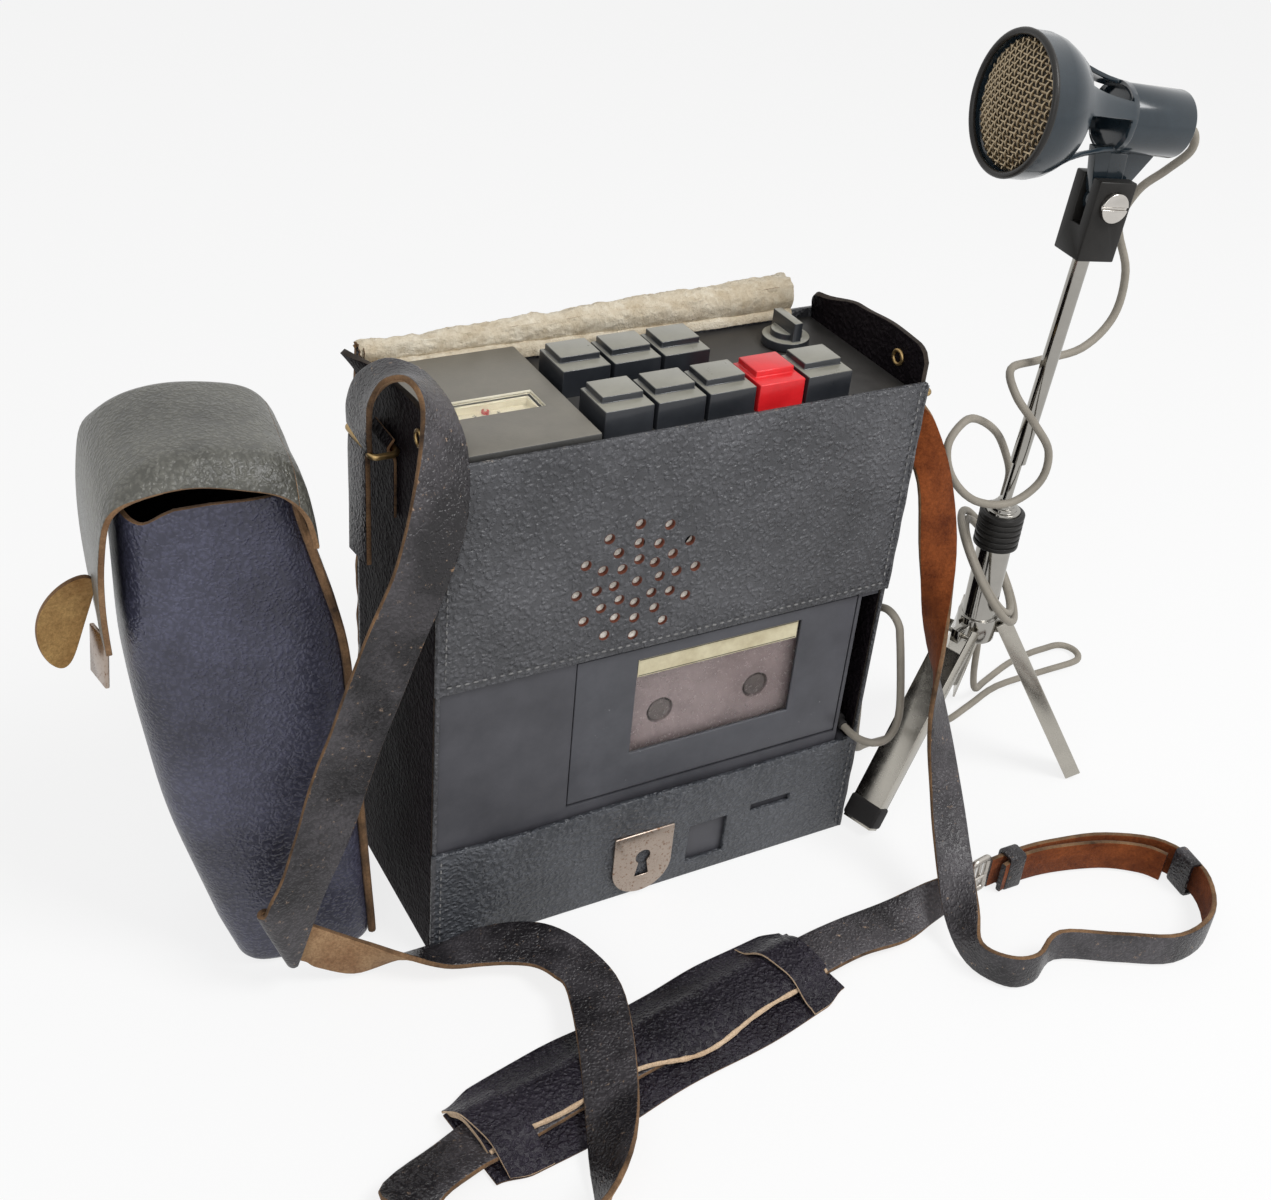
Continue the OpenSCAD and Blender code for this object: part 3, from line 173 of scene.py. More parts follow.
# %% Pieces and their bodies
def place(name, bm, finishes, body, slot, stands_for=(), sharp=38, inside=None):
    """Makes an object from a bmesh, with its finishes, its body and the nodes that it stands for."""
    bmesh.ops.recalc_face_normals(bm, faces=bm.faces)
    if inside is not None:
        turned = [f for f in bm.faces if f.normal.dot(f.calc_center_median() - inside) < 0]
        bmesh.ops.reverse_faces(bm, faces=turned)
    mesh = bpy.data.meshes.new(name)
    bm.to_mesh(mesh)
    bm.free()
    piece = bpy.data.objects.new(name, mesh)
    scene.collection.objects.link(piece)
    for finish in finishes:
        mesh.materials.append(finish)
    mesh.polygons.foreach_set("use_smooth", [True] * len(mesh.polygons))
    mesh.set_sharp_from_angle(angle=math.radians(sharp))
    if body:
        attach(piece, body)
    if stands_for:
        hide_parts(*stands_for)
    print(name, len(mesh.polygons), "faces on", body)
    return piece


def node_copy(node):
    """A merged copy of a CAD node, with its flat faces whole again."""
    bm = bmesh.new()
    bm.from_mesh(nodes[node].data)
    bmesh.ops.remove_doubles(bm, verts=bm.verts, dist=2e-6)
    bmesh.ops.dissolve_limit(bm, angle_limit=math.radians(0.4), verts=bm.verts, edges=bm.edges)
    return bm


def round_edges(bm, width, segments=2, angle=32):
    """Rounds every edge sharper than an angle."""
    sharp = [e for e in bm.edges if len(e.link_faces) == 2 and e.calc_face_angle() > math.radians(angle)]
    bmesh.ops.bevel(bm, geom=sharp, offset=width * MM, offset_type="OFFSET", affect="EDGES",
                    segments=segments, profile=0.5, material=-1, clamp_overlap=False)
    return bm


def leather_sheet(piece, thickness, offset=0.0):
    """Gives a sheet its thickness, with a cut edge and a flesh side of their own finish."""
    wall = piece.modifiers.new("thickness", "SOLIDIFY")
    wall.thickness = thickness * MM
    wall.offset = offset
    wall.use_even_offset = True
    wall.material_offset = 2
    wall.material_offset_rim = 1
    soft = piece.modifiers.new("soft_edge", "BEVEL")
    soft.width = 0.35 * MM
    soft.segments = 2
    soft.limit_method = "ANGLE"
    soft.angle_limit = math.radians(50)
    return piece


# %% [markdown]
# ## Helpers for finishes
# Each finish is one Principled shader with a few texture nodes on Object coordinates.
# Object coordinates are metres here, so a scale of 1000 means details a millimetre apart.

# %% Nodes
def new_finish(name, **values):
    """A material, its node tree and its shader, with plain values on the shader's own sockets."""
    finish = bpy.data.materials.new(name)
    finish.use_nodes = True
    tree = finish.node_tree
    shader = tree.nodes["Principled BSDF"]
    for key, value in values.items():
        shader.inputs[key.replace("_", " ")].default_value = value
    return finish, tree, shader


def texture(tree, kind, vector=None, settings=(), **values):
    """A texture or other node with its values set."""
    made = tree.nodes.new("ShaderNode" + kind)
    for key, value in settings:
        setattr(made, key, value)
    for key, value in values.items():
        made.inputs[key.replace("_", " ")].default_value = value
    if vector is not None:
        tree.links.new(vector, made.inputs["Vector"])
    return made


def feed(tree, socket, value):
    """Links a socket to another node's socket, or gives it a plain value."""
    if isinstance(value, bpy.types.NodeSocket):
        tree.links.new(value, socket)
    else:
        socket.default_value = value


def object_place(tree):
    """The place on the piece, in metres."""
    return tree.nodes.new("ShaderNodeTexCoord").outputs["Object"]


def carried(tree, name):
    """A value that the mesh carries under a name."""
    return texture(tree, "Attribute", settings=(("attribute_name", name),)).outputs["Fac"]


def cloud(tree, where, scale, detail, rough=0.5):
    """The value of a noise texture."""
    return texture(tree, "TexNoise", where, Scale=scale, Detail=detail, Roughness=rough).outputs["Fac"]


print("node helpers ready")

# %% Colours, mixes and relief
def rgb(r, g, b):
    return (r, g, b, 1.0)


def grey(level):
    return rgb(level, level, level)


def ramp(tree, value, low, high, dark=grey(0), light=grey(1)):
    """A colour ramp between two stops."""
    made = tree.nodes.new("ShaderNodeValToRGB")
    for stop, place_of, colour in zip(made.color_ramp.elements, (low, high), (dark, light)):
        stop.position, stop.color = place_of, colour
    tree.links.new(value, made.inputs["Fac"])
    return made.outputs["Color"]


def blend(tree, share, first, second, kind="MIX"):
    """Mixes two colours, each a socket or a plain colour."""
    made = texture(tree, "Mix", settings=(("data_type", "RGBA"), ("blend_type", kind)))
    for number, value in ((0, share), (6, first), (7, second)):
        feed(tree, made.inputs[number], value)
    return made.outputs[2]


def maths(tree, operation, *values):
    """The result of a maths node, from sockets or plain numbers."""
    made = texture(tree, "Math", settings=(("operation", operation),))
    for socket, value in zip(made.inputs, values):
        feed(tree, socket, value)
    return made.outputs[0]


def bump(tree, shader, height, depth):
    """Small relief from a height, with its depth in millimetres."""
    made = texture(tree, "Bump", Strength=1.0, Distance=depth * MM)
    tree.links.new(height, made.inputs["Height"])
    tree.links.new(made.outputs["Normal"], shader.inputs["Normal"])


print("white is", grey(1))

# %% [markdown]
# ## Grained leather
# The case, the pouch and the straps are split cowhide with a printed grain: small cells with creases
# between them, a slow change of tone from handling, and bare fibres where an edge has rubbed.
# Pebbles come from a Voronoi texture that is read smoothly and mixed with noise, so no cell has a hard border.
# The rub reads an attribute named worn, which each sheet carries at its borders, so the wear stays on the
# edges whatever the view.

# %% Leather
def leather(name, dark, light, bare, fleck=None, fleck_at=0.66, cell=520.0, depth=0.75, worn_at=0.58,
            rough=(0.27, 0.40), specular=0.45, spread=(0.34, 0.70)):
    """Grained hide, from its dark and light tones and the tone of its bare fibre."""
    finish, tree, shader = new_finish(name, Specular_IOR_Level=specular)
    where = object_place(tree)
    warp = texture(tree, "TexNoise", where, Scale=300.0, Detail=3.0)
    bent = blend(tree, 0.0035, where, warp.outputs["Color"], "ADD")
    cells = texture(tree, "TexVoronoi", bent, (("feature", "SMOOTH_F1"),), Scale=cell, Smoothness=0.40)
    away = cells.outputs["Distance"]
    fine = cloud(tree, where, cell * 1.7, 4.0, 0.6)
    slow = cloud(tree, where, 24.0, 6.0, 0.62)
    spots = cloud(tree, where, 420.0, 6.0, 0.75)
    patchy = cloud(tree, where, 240.0, 5.0, 0.75)
    pebble = ramp(tree, away, 0.10, 0.62, grey(1), grey(0))
    tone = ramp(tree, slow, *spread, rgb(*dark), rgb(*light))
    shaded = blend(tree, 0.45, tone, ramp(tree, away, 0.25, 0.7, grey(1.2), grey(0.3)), "MULTIPLY")
    scuff = ramp(tree, spots, fleck_at, fleck_at + 0.05)
    scuffed = blend(tree, scuff, shaded, rgb(*(fleck or [1.5 * c for c in light])))
    rubbed = ramp(tree, maths(tree, "MULTIPLY", carried(tree, "worn"), patchy), worn_at, worn_at + 0.07)
    feed(tree, shader.inputs["Base Color"], blend(tree, rubbed, scuffed, rgb(*bare)))
    feed(tree, shader.inputs["Roughness"], ramp(tree, slow, 0.3, 0.7, grey(rough[0]), grey(rough[1])))
    height = maths(tree, "MULTIPLY_ADD", fine, 0.45, pebble)
    bump(tree, shader, maths(tree, "MULTIPLY_ADD", slow, 4.0, height), depth)
    return finish


case_leather = leather("case_leather", (0.052, 0.053, 0.059), (0.112, 0.113, 0.123), (0.24, 0.22, 0.20))
band_leather = leather("band_leather", (0.045, 0.049, 0.058), (0.098, 0.104, 0.118), (0.24, 0.23, 0.22),
                       worn_at=0.62)
# The sides take a much darker, duller copy of the case leather: painted shade, as they stand in shadow.
shaded_side_leather = leather("shaded_side_leather", (0.008, 0.006, 0.008), (0.020, 0.016, 0.018), (0.05, 0.038, 0.034),
                       specular=0.03, rough=(0.5, 0.6))
strap_leather = leather("strap_leather", (0.012, 0.010, 0.012), (0.078, 0.071, 0.078), (0.40, 0.24, 0.13),
                        spread=(0.42, 0.62), fleck=(0.34, 0.24, 0.17), fleck_at=0.625, cell=800.0,
                        worn_at=0.40, depth=0.28)
pad_leather = leather("pad_leather", (0.010, 0.008, 0.013), (0.036, 0.030, 0.044), (0.40, 0.22, 0.12),
                      cell=640.0, specular=0.25)
pouch_leather = leather("pouch_leather", (0.034, 0.034, 0.056), (0.086, 0.088, 0.138), (0.30, 0.19, 0.11),
                        cell=700.0, depth=0.30)
hood_leather = leather("hood_leather", (0.078, 0.077, 0.066), (0.190, 0.187, 0.160), (0.46, 0.27, 0.13),
                       cell=640.0, depth=0.34)
print("seven leathers")

# %% [markdown]
# ## Suede, cut edges and thread
# The flesh side of the hide is brushed and fibrous. Two noises of very different size give the nap and
# its patches, and a little sheen gives the soft bright rim. A cut edge is the same fibre, pressed flat.

# %% Suede and thread
def suede(name, dark, light, nap=900.0, depth=0.35, pores=(0.45, 0.42, 0.38)):
    """Brushed fibre, from its dark and light tones."""
    finish, tree, shader = new_finish(name, Roughness=0.95, Specular_IOR_Level=0.12, Sheen_Weight=0.08)
    where = object_place(tree)
    patch = cloud(tree, where, 70.0, 6.0, 0.7)
    fibre = cloud(tree, where, nap, 5.0, 0.75)
    tone = ramp(tree, patch, 0.3, 0.72, rgb(*dark), rgb(*light))
    speck = ramp(tree, fibre, 0.30, 0.62, rgb(*pores), grey(1))
    feed(tree, shader.inputs["Base Color"], blend(tree, 0.8, tone, speck, "MULTIPLY"))
    bump(tree, shader, maths(tree, "MULTIPLY_ADD", patch, 1.5, fibre), depth)
    return finish


PRESSED = dict(nap=1500.0, depth=0.15)
roll_suede = suede("roll_suede", (0.64, 0.53, 0.37), (0.95, 0.89, 0.75), 420.0, 1.2, (0.72, 0.67, 0.60))
strap_suede = suede("strap_suede", (0.100, 0.022, 0.006), (0.33, 0.090, 0.024))
long_suede = suede("long_suede", (0.27, 0.14, 0.07), (0.54, 0.36, 0.20))
tongue_suede = suede("tongue_suede", (0.38, 0.20, 0.07), (0.66, 0.42, 0.17))
dark_suede = suede("dark_suede", (0.010, 0.009, 0.010), (0.026, 0.022, 0.022))
raw_edge = suede("raw_edge", (0.60, 0.42, 0.27), (0.90, 0.70, 0.50), **PRESSED)
cut_edge = suede("cut_edge", (0.16, 0.085, 0.045), (0.40, 0.245, 0.13), **PRESSED)
# The walls of the punched holes: the cut edge made darker and redder, painted shade inside the holes.
shaded_punched_edge = suede("shaded_punched_edge", (0.08, 0.022, 0.014), (0.18, 0.06, 0.036), **PRESSED)
strap_edge = suede("strap_edge", (0.05, 0.032, 0.022), (0.36, 0.21, 0.11), **PRESSED)
dark_edge = suede("dark_edge", (0.016, 0.014, 0.014), (0.085, 0.065, 0.05), **PRESSED)
speaker_cloth = suede("speaker_cloth", (0.72, 0.67, 0.60), (0.90, 0.86, 0.80), 1400.0, 0.3)
thread = suede("thread", (0.17, 0.17, 0.175), (0.36, 0.36, 0.36), 2600.0, 0.1)
print("suedes, edges, cloth and thread")

# %% [markdown]
# ## Mouldings, metal and glass
# The recorder is black moulded plastic with a fine spark grain. Keys are the same plastic, smoother from
# fingers, and their faces that look up are lighter: dust with a painted sheen of the light from above.
# Plated metal is a mirror that has been wiped for years, so its roughness varies in slow patches.

# %% Plastics
def moulded(name, colour, rough, grain=2600.0, depth=0.03, coat=0.0, drift=0.12, dust_and_sheen=None, specks=0.0, shine=0.45):
    """Moulded plastic, from its colour and its roughness."""
    finish, tree, shader = new_finish(name, Specular_IOR_Level=shine, Coat_Weight=coat, Coat_Roughness=0.12)
    where = object_place(tree)
    haze = cloud(tree, where, 45.0, 6.0, 0.68)
    base = ramp(tree, haze, 0.32, 0.72, rgb(*colour), rgb(*[c * 1.5 + 0.006 for c in colour]))
    if specks:
        chips = cloud(tree, where, 300.0, 5.0, 0.75)
        base = blend(tree, ramp(tree, chips, specks, specks + 0.03), base, grey(0.55))
    # Faces that look up take a lighter colour: dust, with a painted sheen of the light from above.
    if dust_and_sheen:
        upward_dust_and_sheen = ramp(tree, haze, 0.25, 0.65, rgb(*[0.7 * c for c in dust_and_sheen]), rgb(*dust_and_sheen))
        base = blend(tree, carried(tree, "upper"), base, upward_dust_and_sheen)
    feed(tree, shader.inputs["Base Color"], base)
    feed(tree, shader.inputs["Roughness"], ramp(tree, haze, 0.3, 0.7, grey(rough), grey(rough + drift)))
    bump(tree, shader, cloud(tree, where, grain, 2.0), depth)
    return finish


housing_black = moulded("housing_black", (0.052, 0.052, 0.060), 0.42, specks=0.73)
lid_black = moulded("lid_black", (0.056, 0.057, 0.066), 0.36, specks=0.70)
deck_grey = moulded("deck_grey", (0.030, 0.028, 0.026), 0.40)
# The panel and the keys are lighter on their faces that look up: dust with a painted sheen of the light from above.
panel_grey = moulded("panel_grey", (0.040, 0.039, 0.037), 0.40, grain=1700.0, depth=0.06, dust_and_sheen=(0.20, 0.185, 0.155))
key_black = moulded("key_black", (0.016, 0.018, 0.022), 0.26, coat=0.3, dust_and_sheen=(0.30, 0.29, 0.24))
key_red = moulded("key_red", (0.56, 0.007, 0.011), 0.30, coat=0.25)
mic_black = moulded("mic_black", (0.010, 0.018, 0.025), 0.16, grain=900.0, depth=0.01, coat=0.3, drift=0.05)
rim_black = moulded("rim_black", (0.015, 0.014, 0.013), 0.30, shine=0.3)
clip_black = moulded("clip_black", (0.014, 0.013, 0.012), 0.36, shine=0.22)
rubber_black = moulded("rubber_black", (0.014, 0.013, 0.013), 0.60, drift=0.2, shine=0.25)
smoky_plastic = moulded("smoky_plastic", (0.37, 0.325, 0.32), 0.22, depth=0.008)
tape_brown = moulded("tape_brown", (0.050, 0.036, 0.032), 0.25, depth=0.01)
hub_white = moulded("hub_white", (0.17, 0.16, 0.15), 0.40)
board_green = moulded("board_green", (0.06, 0.17, 0.08), 0.35)
paper_cone = moulded("paper_cone", (0.030, 0.026, 0.022), 0.85, grain=1200.0, depth=0.2)
cell_jacket = moulded("cell_jacket", (0.30, 0.22, 0.07), 0.35)
cord_grey = moulded("cord_grey", (0.225, 0.203, 0.168), 0.55, grain=1500.0, depth=0.04)
print("mouldings ready")

# %% Metals
def plated(name, colour, rough, spoil=None, amount=0.62):
    """Plated metal, wiped in patches and pitted where it has spoiled."""
    finish, tree, shader = new_finish(name, Metallic=1.0)
    where = object_place(tree)
    wipe = cloud(tree, where, 85.0, 6.0, 0.7)
    pits = cloud(tree, where, 640.0, 4.0, 0.7)
    tone = ramp(tree, wipe, 0.3, 0.75, rgb(*[0.82 * c for c in colour]), rgb(*colour))
    if spoil:
        tone = blend(tree, ramp(tree, pits, amount, amount + 0.1), tone, rgb(*spoil))
    feed(tree, shader.inputs["Base Color"], tone)
    feed(tree, shader.inputs["Roughness"], ramp(tree, wipe, 0.3, 0.75, grey(rough), grey(rough + 0.14)))
    bump(tree, shader, pits, 0.012)
    return finish


chrome = plated("chrome", (0.38, 0.365, 0.335), 0.08)
leg_plate = plated("leg_plate", (0.47, 0.445, 0.395), 0.20)
bright_plate = plated("bright_plate", (0.62, 0.59, 0.55), 0.10)
clasp_nickel = plated("clasp_nickel", (0.42, 0.345, 0.29), 0.22, spoil=(0.18, 0.095, 0.055), amount=0.55)
aged_brass = plated("aged_brass", (0.42, 0.29, 0.13), 0.30, spoil=(0.08, 0.05, 0.03))
worn_steel = plated("worn_steel", (0.50, 0.47, 0.43), 0.26, spoil=(0.16, 0.10, 0.06))
mesh_wire = plated("mesh_wire", (0.42, 0.34, 0.23), 0.36, spoil=(0.15, 0.11, 0.07))
zinc_steel = plated("zinc_steel", (0.55, 0.54, 0.50), 0.32)
turned_brass = plated("turned_brass", (0.70, 0.52, 0.24), 0.22)
print("metals ready")

# %% Panes, paper and the meter's face
def pane(name, tint, rough):
    """Clear plastic with dust on it."""
    finish, tree, shader = new_finish(name, Base_Color=rgb(*tint), Transmission_Weight=1.0, IOR=1.25)
    dust_and_sheen = cloud(tree, object_place(tree), 520.0, 7.0, 0.8)
    feed(tree, shader.inputs["Roughness"], ramp(tree, dust_and_sheen, 0.45, 0.75, grey(rough), grey(rough + 0.35)))
    return finish


def card(name, dark, light):
    """Printed card with slow stains."""
    finish, tree, shader = new_finish(name, Roughness=0.7)
    where = object_place(tree)
    stain = cloud(tree, where, 130.0, 6.0, 0.7)
    feed(tree, shader.inputs["Base Color"], ramp(tree, stain, 0.3, 0.72, rgb(*dark), rgb(*light)))
    bump(tree, shader, cloud(tree, where, 2400.0, 2.0), 0.03)
    return finish


lid_pane = pane("lid_pane", (0.80, 0.76, 0.76), 0.10)
meter_pane = pane("meter_pane", (0.95, 0.93, 0.88), 0.03)
cream_card = card("cream_card", (0.50, 0.43, 0.27), (0.74, 0.68, 0.48))
meter_card = card("meter_card", (0.70, 0.65, 0.49), (0.86, 0.82, 0.68))
ink_black = card("ink_black", (0.014, 0.014, 0.014), (0.03, 0.03, 0.03))
needle_red = card("needle_red", (0.40, 0.02, 0.015), (0.55, 0.04, 0.03))
print("panes and cards ready")

# %% [markdown]
# ## The microphone cord
# The cord leaves the microphone's tail, hangs round the stand, is wound twice round the column, runs out
# along the floor and back, and ends in a plug at the side of the recorder. Its route follows the part's own
# closely, and every bend is at least two diameters wide.
# It is three tubes that meet end to end. Each is a round outline swept along a smooth line.

# %% Cord routes
CORD = 3.2
STAND_X, STAND_Y = 159, -23.5
TAIL_SPANS, UPPER_STEPS, LOWER_STEPS = 5, 6, 4
mic_tail = [(198.49, -27.43, 291.96), (204.8, -27.4, 288.5), (207.6, -25.4, 281), (204, -19.5, 272), (198, -14.3, 263),
            (195, -12, 249), (203, -14, 230), (203, -14, 211), (190, -14, 199), (168, -14, 197), (149, -20, 199),
            (145, -30, 193), (153, -35, 182), (164, -35, 168), (163, -35.5, 155), (150, -35, 147.5), (133, -33, 151),
            (120.5, -31, 163), (117.5, -28.5, 176), (127, -25, 183), (141, -19, 177.5), (156.5, -13.5, 166),
            (167, -11, 152), (171.3, -10, 143), (172.3, -9, 134)]
lead_in = [(172.8, -8.4, 125), (173.1, -8.9, 115.5), (173.4, -10.6, 107.2)]
floor_route = [(180, -4, 92), (184, 1, 70), (190, 3, 46), (197, 7.5, 22), (206, 13, 6.5), (219, 20.5, 2), (240, 28, 2),
               (256, 30.8, 2), (267, 31.3, 2), (272, 31.4, 2), (275.8, 30.4, 2), (278.5, 27.7, 2), (279.5, 23.9, 2),
               (278.5, 20.1, 2), (275.8, 17.4, 2), (272, 16.4, 2), (267, 16.1, 2), (250, 16, 2), (222, 15, 2),
               (200, 8, 2), (180, 2, 2), (158, 2, 2), (136, 2, 2.5), (120, -8, 14), (110, -16, 45), (101, -22, 80),
               (98.6, -25, 93), (98.2, -26.4, 100.5), (98.4, -27.5, 104.5), (98.8, -30.4, 107.4),
               (99.4, -34.4, 108.5), (100, -38.4, 107.4), (100.6, -41.3, 104.5),
               (101, -42.4, 100.5), (102, -43.6, 93), (103.5, -46, 78), (103.6, -48.3, 67),
               (101.6, -49.8, 59.5), (97.4, -50.2, 55.2), (92.7, -48.4, 53.9), (89.5, -44.6, 53.7), (88.2, -40, 53.8),
               (87.85, -34.9, 54)]
loop_a = Vector((0.6, 0.8, 0)).normalized()
loop_b = Vector((-0.48, 0.36, 0.8)).normalized()
loops = [mm(STAND_X, STAND_Y, 108) + (19 + 3.9 * k / 24) * MM * (math.cos(-k * math.pi / 12) * loop_a
         + math.sin(-k * math.pi / 12) * loop_b) for k in range(2, 49)]
upper = eased([mm(*p) for p in mic_tail], UPPER_STEPS)
lower = eased([upper[-1]] + [mm(*p) for p in lead_in] + loops + [mm(*p) for p in floor_route], LOWER_STEPS)
print("cord", round(length_of(upper), 3), "m above and", round(length_of(lower), 3), "m below")

# %% Cord tubes
def cord_tube(name, line, body):
    """A round tube along the cord's line."""
    bm = bmesh.new()
    sweep(bm, round_rings(line, CORD / 2 * MM, 12))
    return place(name, bm, [cord_grey], body, "cord_grey")


cut = TAIL_SPANS * UPPER_STEPS
tail_line, drop_line = upper[:cut + 1], upper[cut:]
cord_tail = cord_tube("cord_tail", tail_line, None)
cord_drop = cord_tube("cord_drop", drop_line, None)
cord_floor = cord_tube("cord_floor", lower, "case")
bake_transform(cord_tail)
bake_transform(cord_drop)
for tube, line, end, node in ((cord_tail, tail_line, "object", "mic_cord_upper"),
                              (cord_drop, drop_line, "object", "mic_cord_upper"),
                              (cord_floor, lower, "plug", "mic_cord_lower")):
    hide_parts(node)

# %% [markdown]
# ## Leather case: sides, base and ears
# One long strip of leather makes the two sides and the base, and its ends stand up as ears beside the deck.
# Each side starts as a flat grid whose points are then moved: the top edge rises and falls, its corners are
# round, and the back of each ear leans. Solidify gives the leather its thickness and its cut edge.

# %% Border wear
def mark_worn(bm, width, floor=0.0):
    """Writes how near each point is to a border of its sheet, as the attribute worn."""
    layer = bm.verts.layers.float.get("worn") or bm.verts.layers.float.new("worn")
    rim = [v.co.copy() for v in bm.verts if v.is_boundary]
    for v in bm.verts:
        near = min(((v.co - r).length for r in rim), default=1.0)
        v[layer] = max(floor, 1.0 - near / (width * MM))
    return bm


def sheet_piece(name, bm, finishes, body, slot, thick, stands_for=(), worn=0.0, sharp=38, inside=None, offset=0.0):
    """A leather sheet with its worn border and its thickness."""
    if worn:
        mark_worn(bm, worn)
    return leather_sheet(place(name, bm, finishes, body, slot, stands_for, sharp, inside), thick, offset)


def grid(bm, across, along):
    """A grid of points with u and v from 0 to 1, as (vertex, u, v)."""
    made = bmesh.ops.create_grid(bm, x_segments=across, y_segments=along, size=0.5)["verts"]
    return [(v, v.co.x + 0.5, v.co.y + 0.5) for v in made]


def step(x, a, b):
    """A soft step, from nought at a to one at b."""
    t = min(1.0, max(0.0, (x - a) / (b - a)))
    return t * t * (3 - 2 * t)


def along_stops(x, stops):
    """A value between stops of (place, value)."""
    for (a, p), (b, q) in zip(stops, stops[1:]):
        if x <= b:
            return p + (q - p) * step(x, a, b)
    return stops[-1][1]


print("half way", round(along_stops(0.5, [(0, 0), (1, 1)]), 2))

# %% Sides and base
HIDE = 2.0
SIDE_X, HALF_DEEP = 93, 35.4


def ear_top(y, right):
    """The height of a side's top edge."""
    if right:
        top = along_stops(y, [(-35.5, 222), (-14, 223), (6, 222), (26, 218.5), (34, 216)])
    else:
        top = along_stops(y, [(-35.5, 221), (-14, 222.5), (6, 223), (34, 221.5)])
    corner = max(0.0, -35.5 + 7 - y) / 7
    back = max(0.0, y - 35.5 + 8) / 8
    return top - 6 * (1 - math.sqrt(1 - corner ** 2)) - 9 * (1 - math.sqrt(max(0.0, 1 - back ** 2)))


def ear_lean(y, z, right):
    """How far an ear leans inwards at its back."""
    lean = along_stops(y, [(-35.5, 0), (-14, 0), (6, -1 if right else -2), (34, -9)])
    share = max(0.0, z - 209) / 13
    return lean * min(1.0, share) ** 1.2


bm = bmesh.new()
for right in (False, True):
    for v, u, w in grid(bm, 36, 90):
        y = HALF_DEEP * (2 * u - 1)
        top = ear_top(y, right)
        z = top * (0.94 * w / 0.55 if w < 0.55 else 0.94 + 0.06 * (w - 0.55) / 0.45)
        v.co = mm((SIDE_X if right else -SIDE_X) + ear_lean(y, z, right), y, z)
for v, u, w in grid(bm, 60, 24):
    v.co = mm(-91.8 + 183.6 * u, HALF_DEEP * (2 * w - 1), HIDE / 2)
# The sides and base wear the darkened copy of the case leather, which paints their shade.
sheet_piece("case_sides", bm, [shaded_side_leather, dark_edge, shaded_side_leather], "case", "case_leather", HIDE, ["case_gusset"],
            worn=3.2, inside=mm(0, 0, 105))

# %% [markdown]
# ## Leather front: perforated panel and lower band
# The panel in front of the loudspeaker is flat leather with a rosette of punched holes.
# The CAD node already has the holes, so a merged copy of it is cut into a net of small faces, which lets
# the sheet swell a little, and its edges are rounded. The punched walls show bare brown hide, darkened as
# painted shade inside the holes, and pale cloth shows behind them.

# %% A copy that can bend
def bendable(node, pitch_x, pitch_z):
    """A copy of a flat node, cut across so that it can bend."""
    bm = node_copy(node)
    low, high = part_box(node)
    for axis, pitch in ((0, pitch_x), (2, pitch_z)):
        n = int((high[axis] - low[axis]) / (pitch * MM))
        for k in range(1, n):
            point = Vector((0, 0, 0))
            point[axis] = low[axis] + (high[axis] - low[axis]) * k / n
            normal = Vector((axis == 0, 0, axis == 2))
            bmesh.ops.bisect_plane(bm, geom=bm.verts[:] + bm.edges[:] + bm.faces[:], plane_co=point,
                                   plane_no=normal, dist=1e-7)
    return bm


def worn_border(bm, low, high, width):
    """Marks the border of a flat upright sheet as worn."""
    layer = bm.verts.layers.float.new("worn")
    for v in bm.verts:
        near = min(v.co.x - low.x, high.x - v.co.x, v.co.z - low.z, high.z - v.co.z)
        v[layer] = max(0.0, 1.0 - near / (width * MM))


# %% Perforated panel
ROSETTE_X, ROSETTE_Z, FRONT_X = -0.020, 0.1527, 0.094


def thicken(bm, faces, way):
    """Extrudes faces and moves the new ones along a way."""
    made = bmesh.ops.extrude_face_region(bm, geom=faces)["geom"]
    bmesh.ops.translate(bm, verts=[v for v in made if isinstance(v, bmesh.types.BMVert)], vec=way)


bm = bendable("case_front_panel", 9, 9)
low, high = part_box("case_front_panel")
round_edges(bm, 0.45, 2, 40)
worn_border(bm, low, high, 2.4)
# The walls of the holes take the darker edge finish, which paints their shade.
for f in bm.faces:
    c = f.calc_center_median()
    if math.hypot(c.x - ROSETTE_X, c.z - ROSETTE_Z) < 0.027 and abs(f.normal.y) < 0.93:
        f.material_index = 1
for v in bm.verts:
    share = min(1.0, max(0.0, (v.co.z - low.z) / (high.z - low.z)))
    v.co.y -= 0.0009 * (1 - (v.co.x / FRONT_X) ** 2) * math.sin(math.pi * share)
place("case_panel", bm, [case_leather, shaded_punched_edge], "case", "case_leather", ["case_front_panel"])
bm = bmesh.new()
behind = Matrix.Translation(Vector((ROSETTE_X, high.y - 0.0014, ROSETTE_Z)))
bmesh.ops.create_circle(bm, cap_ends=True, segments=48, radius=0.030,
                        matrix=behind @ Matrix.Rotation(math.pi / 2, 4, "X"))
thicken(bm, bm.faces[:], mm(0, 0.2, 0))
place("loudspeaker_cloth", bm, [speaker_cloth], "case", "flap_suede")

# %% Lower band, a little loose along its top edge
bm = bendable("case_front_band", 6, 5)
low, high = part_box("case_front_band")
round_edges(bm, 0.5, 2, 40)
worn_border(bm, low, high, 3.0)
for v in bm.verts:
    rise = step(v.co.z, 0.012, 0.0495)
    free = 1 - abs(v.co.x / FRONT_X) ** 4
    v.co.y -= rise * free * (0.0011 + 0.0006 * math.sin(v.co.x * 70 + 0.6))
    v.co.z += rise * free * 0.0006 * math.sin(v.co.x * 55 + 1.2)
place("case_band", bm, [band_leather], "case", "case_leather", ["case_front_band"])

# %% Back sheet
bm = bendable("case_back", 12, 12)
round_edges(bm, 0.5, 2, 40)
worn_border(bm, *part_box("case_back"), 2.4)
place("back_sheet", bm, [case_leather], "case", "case_leather", ["case_back"])

# %% [markdown]
# ## Stitches and the corner seam
# The panels are sewn to the side strip with dark thread. A stitch is a small rounded bead, and a seam is
# a row of them a little proud of the leather. Each starts as an icosphere that is stretched along the seam.

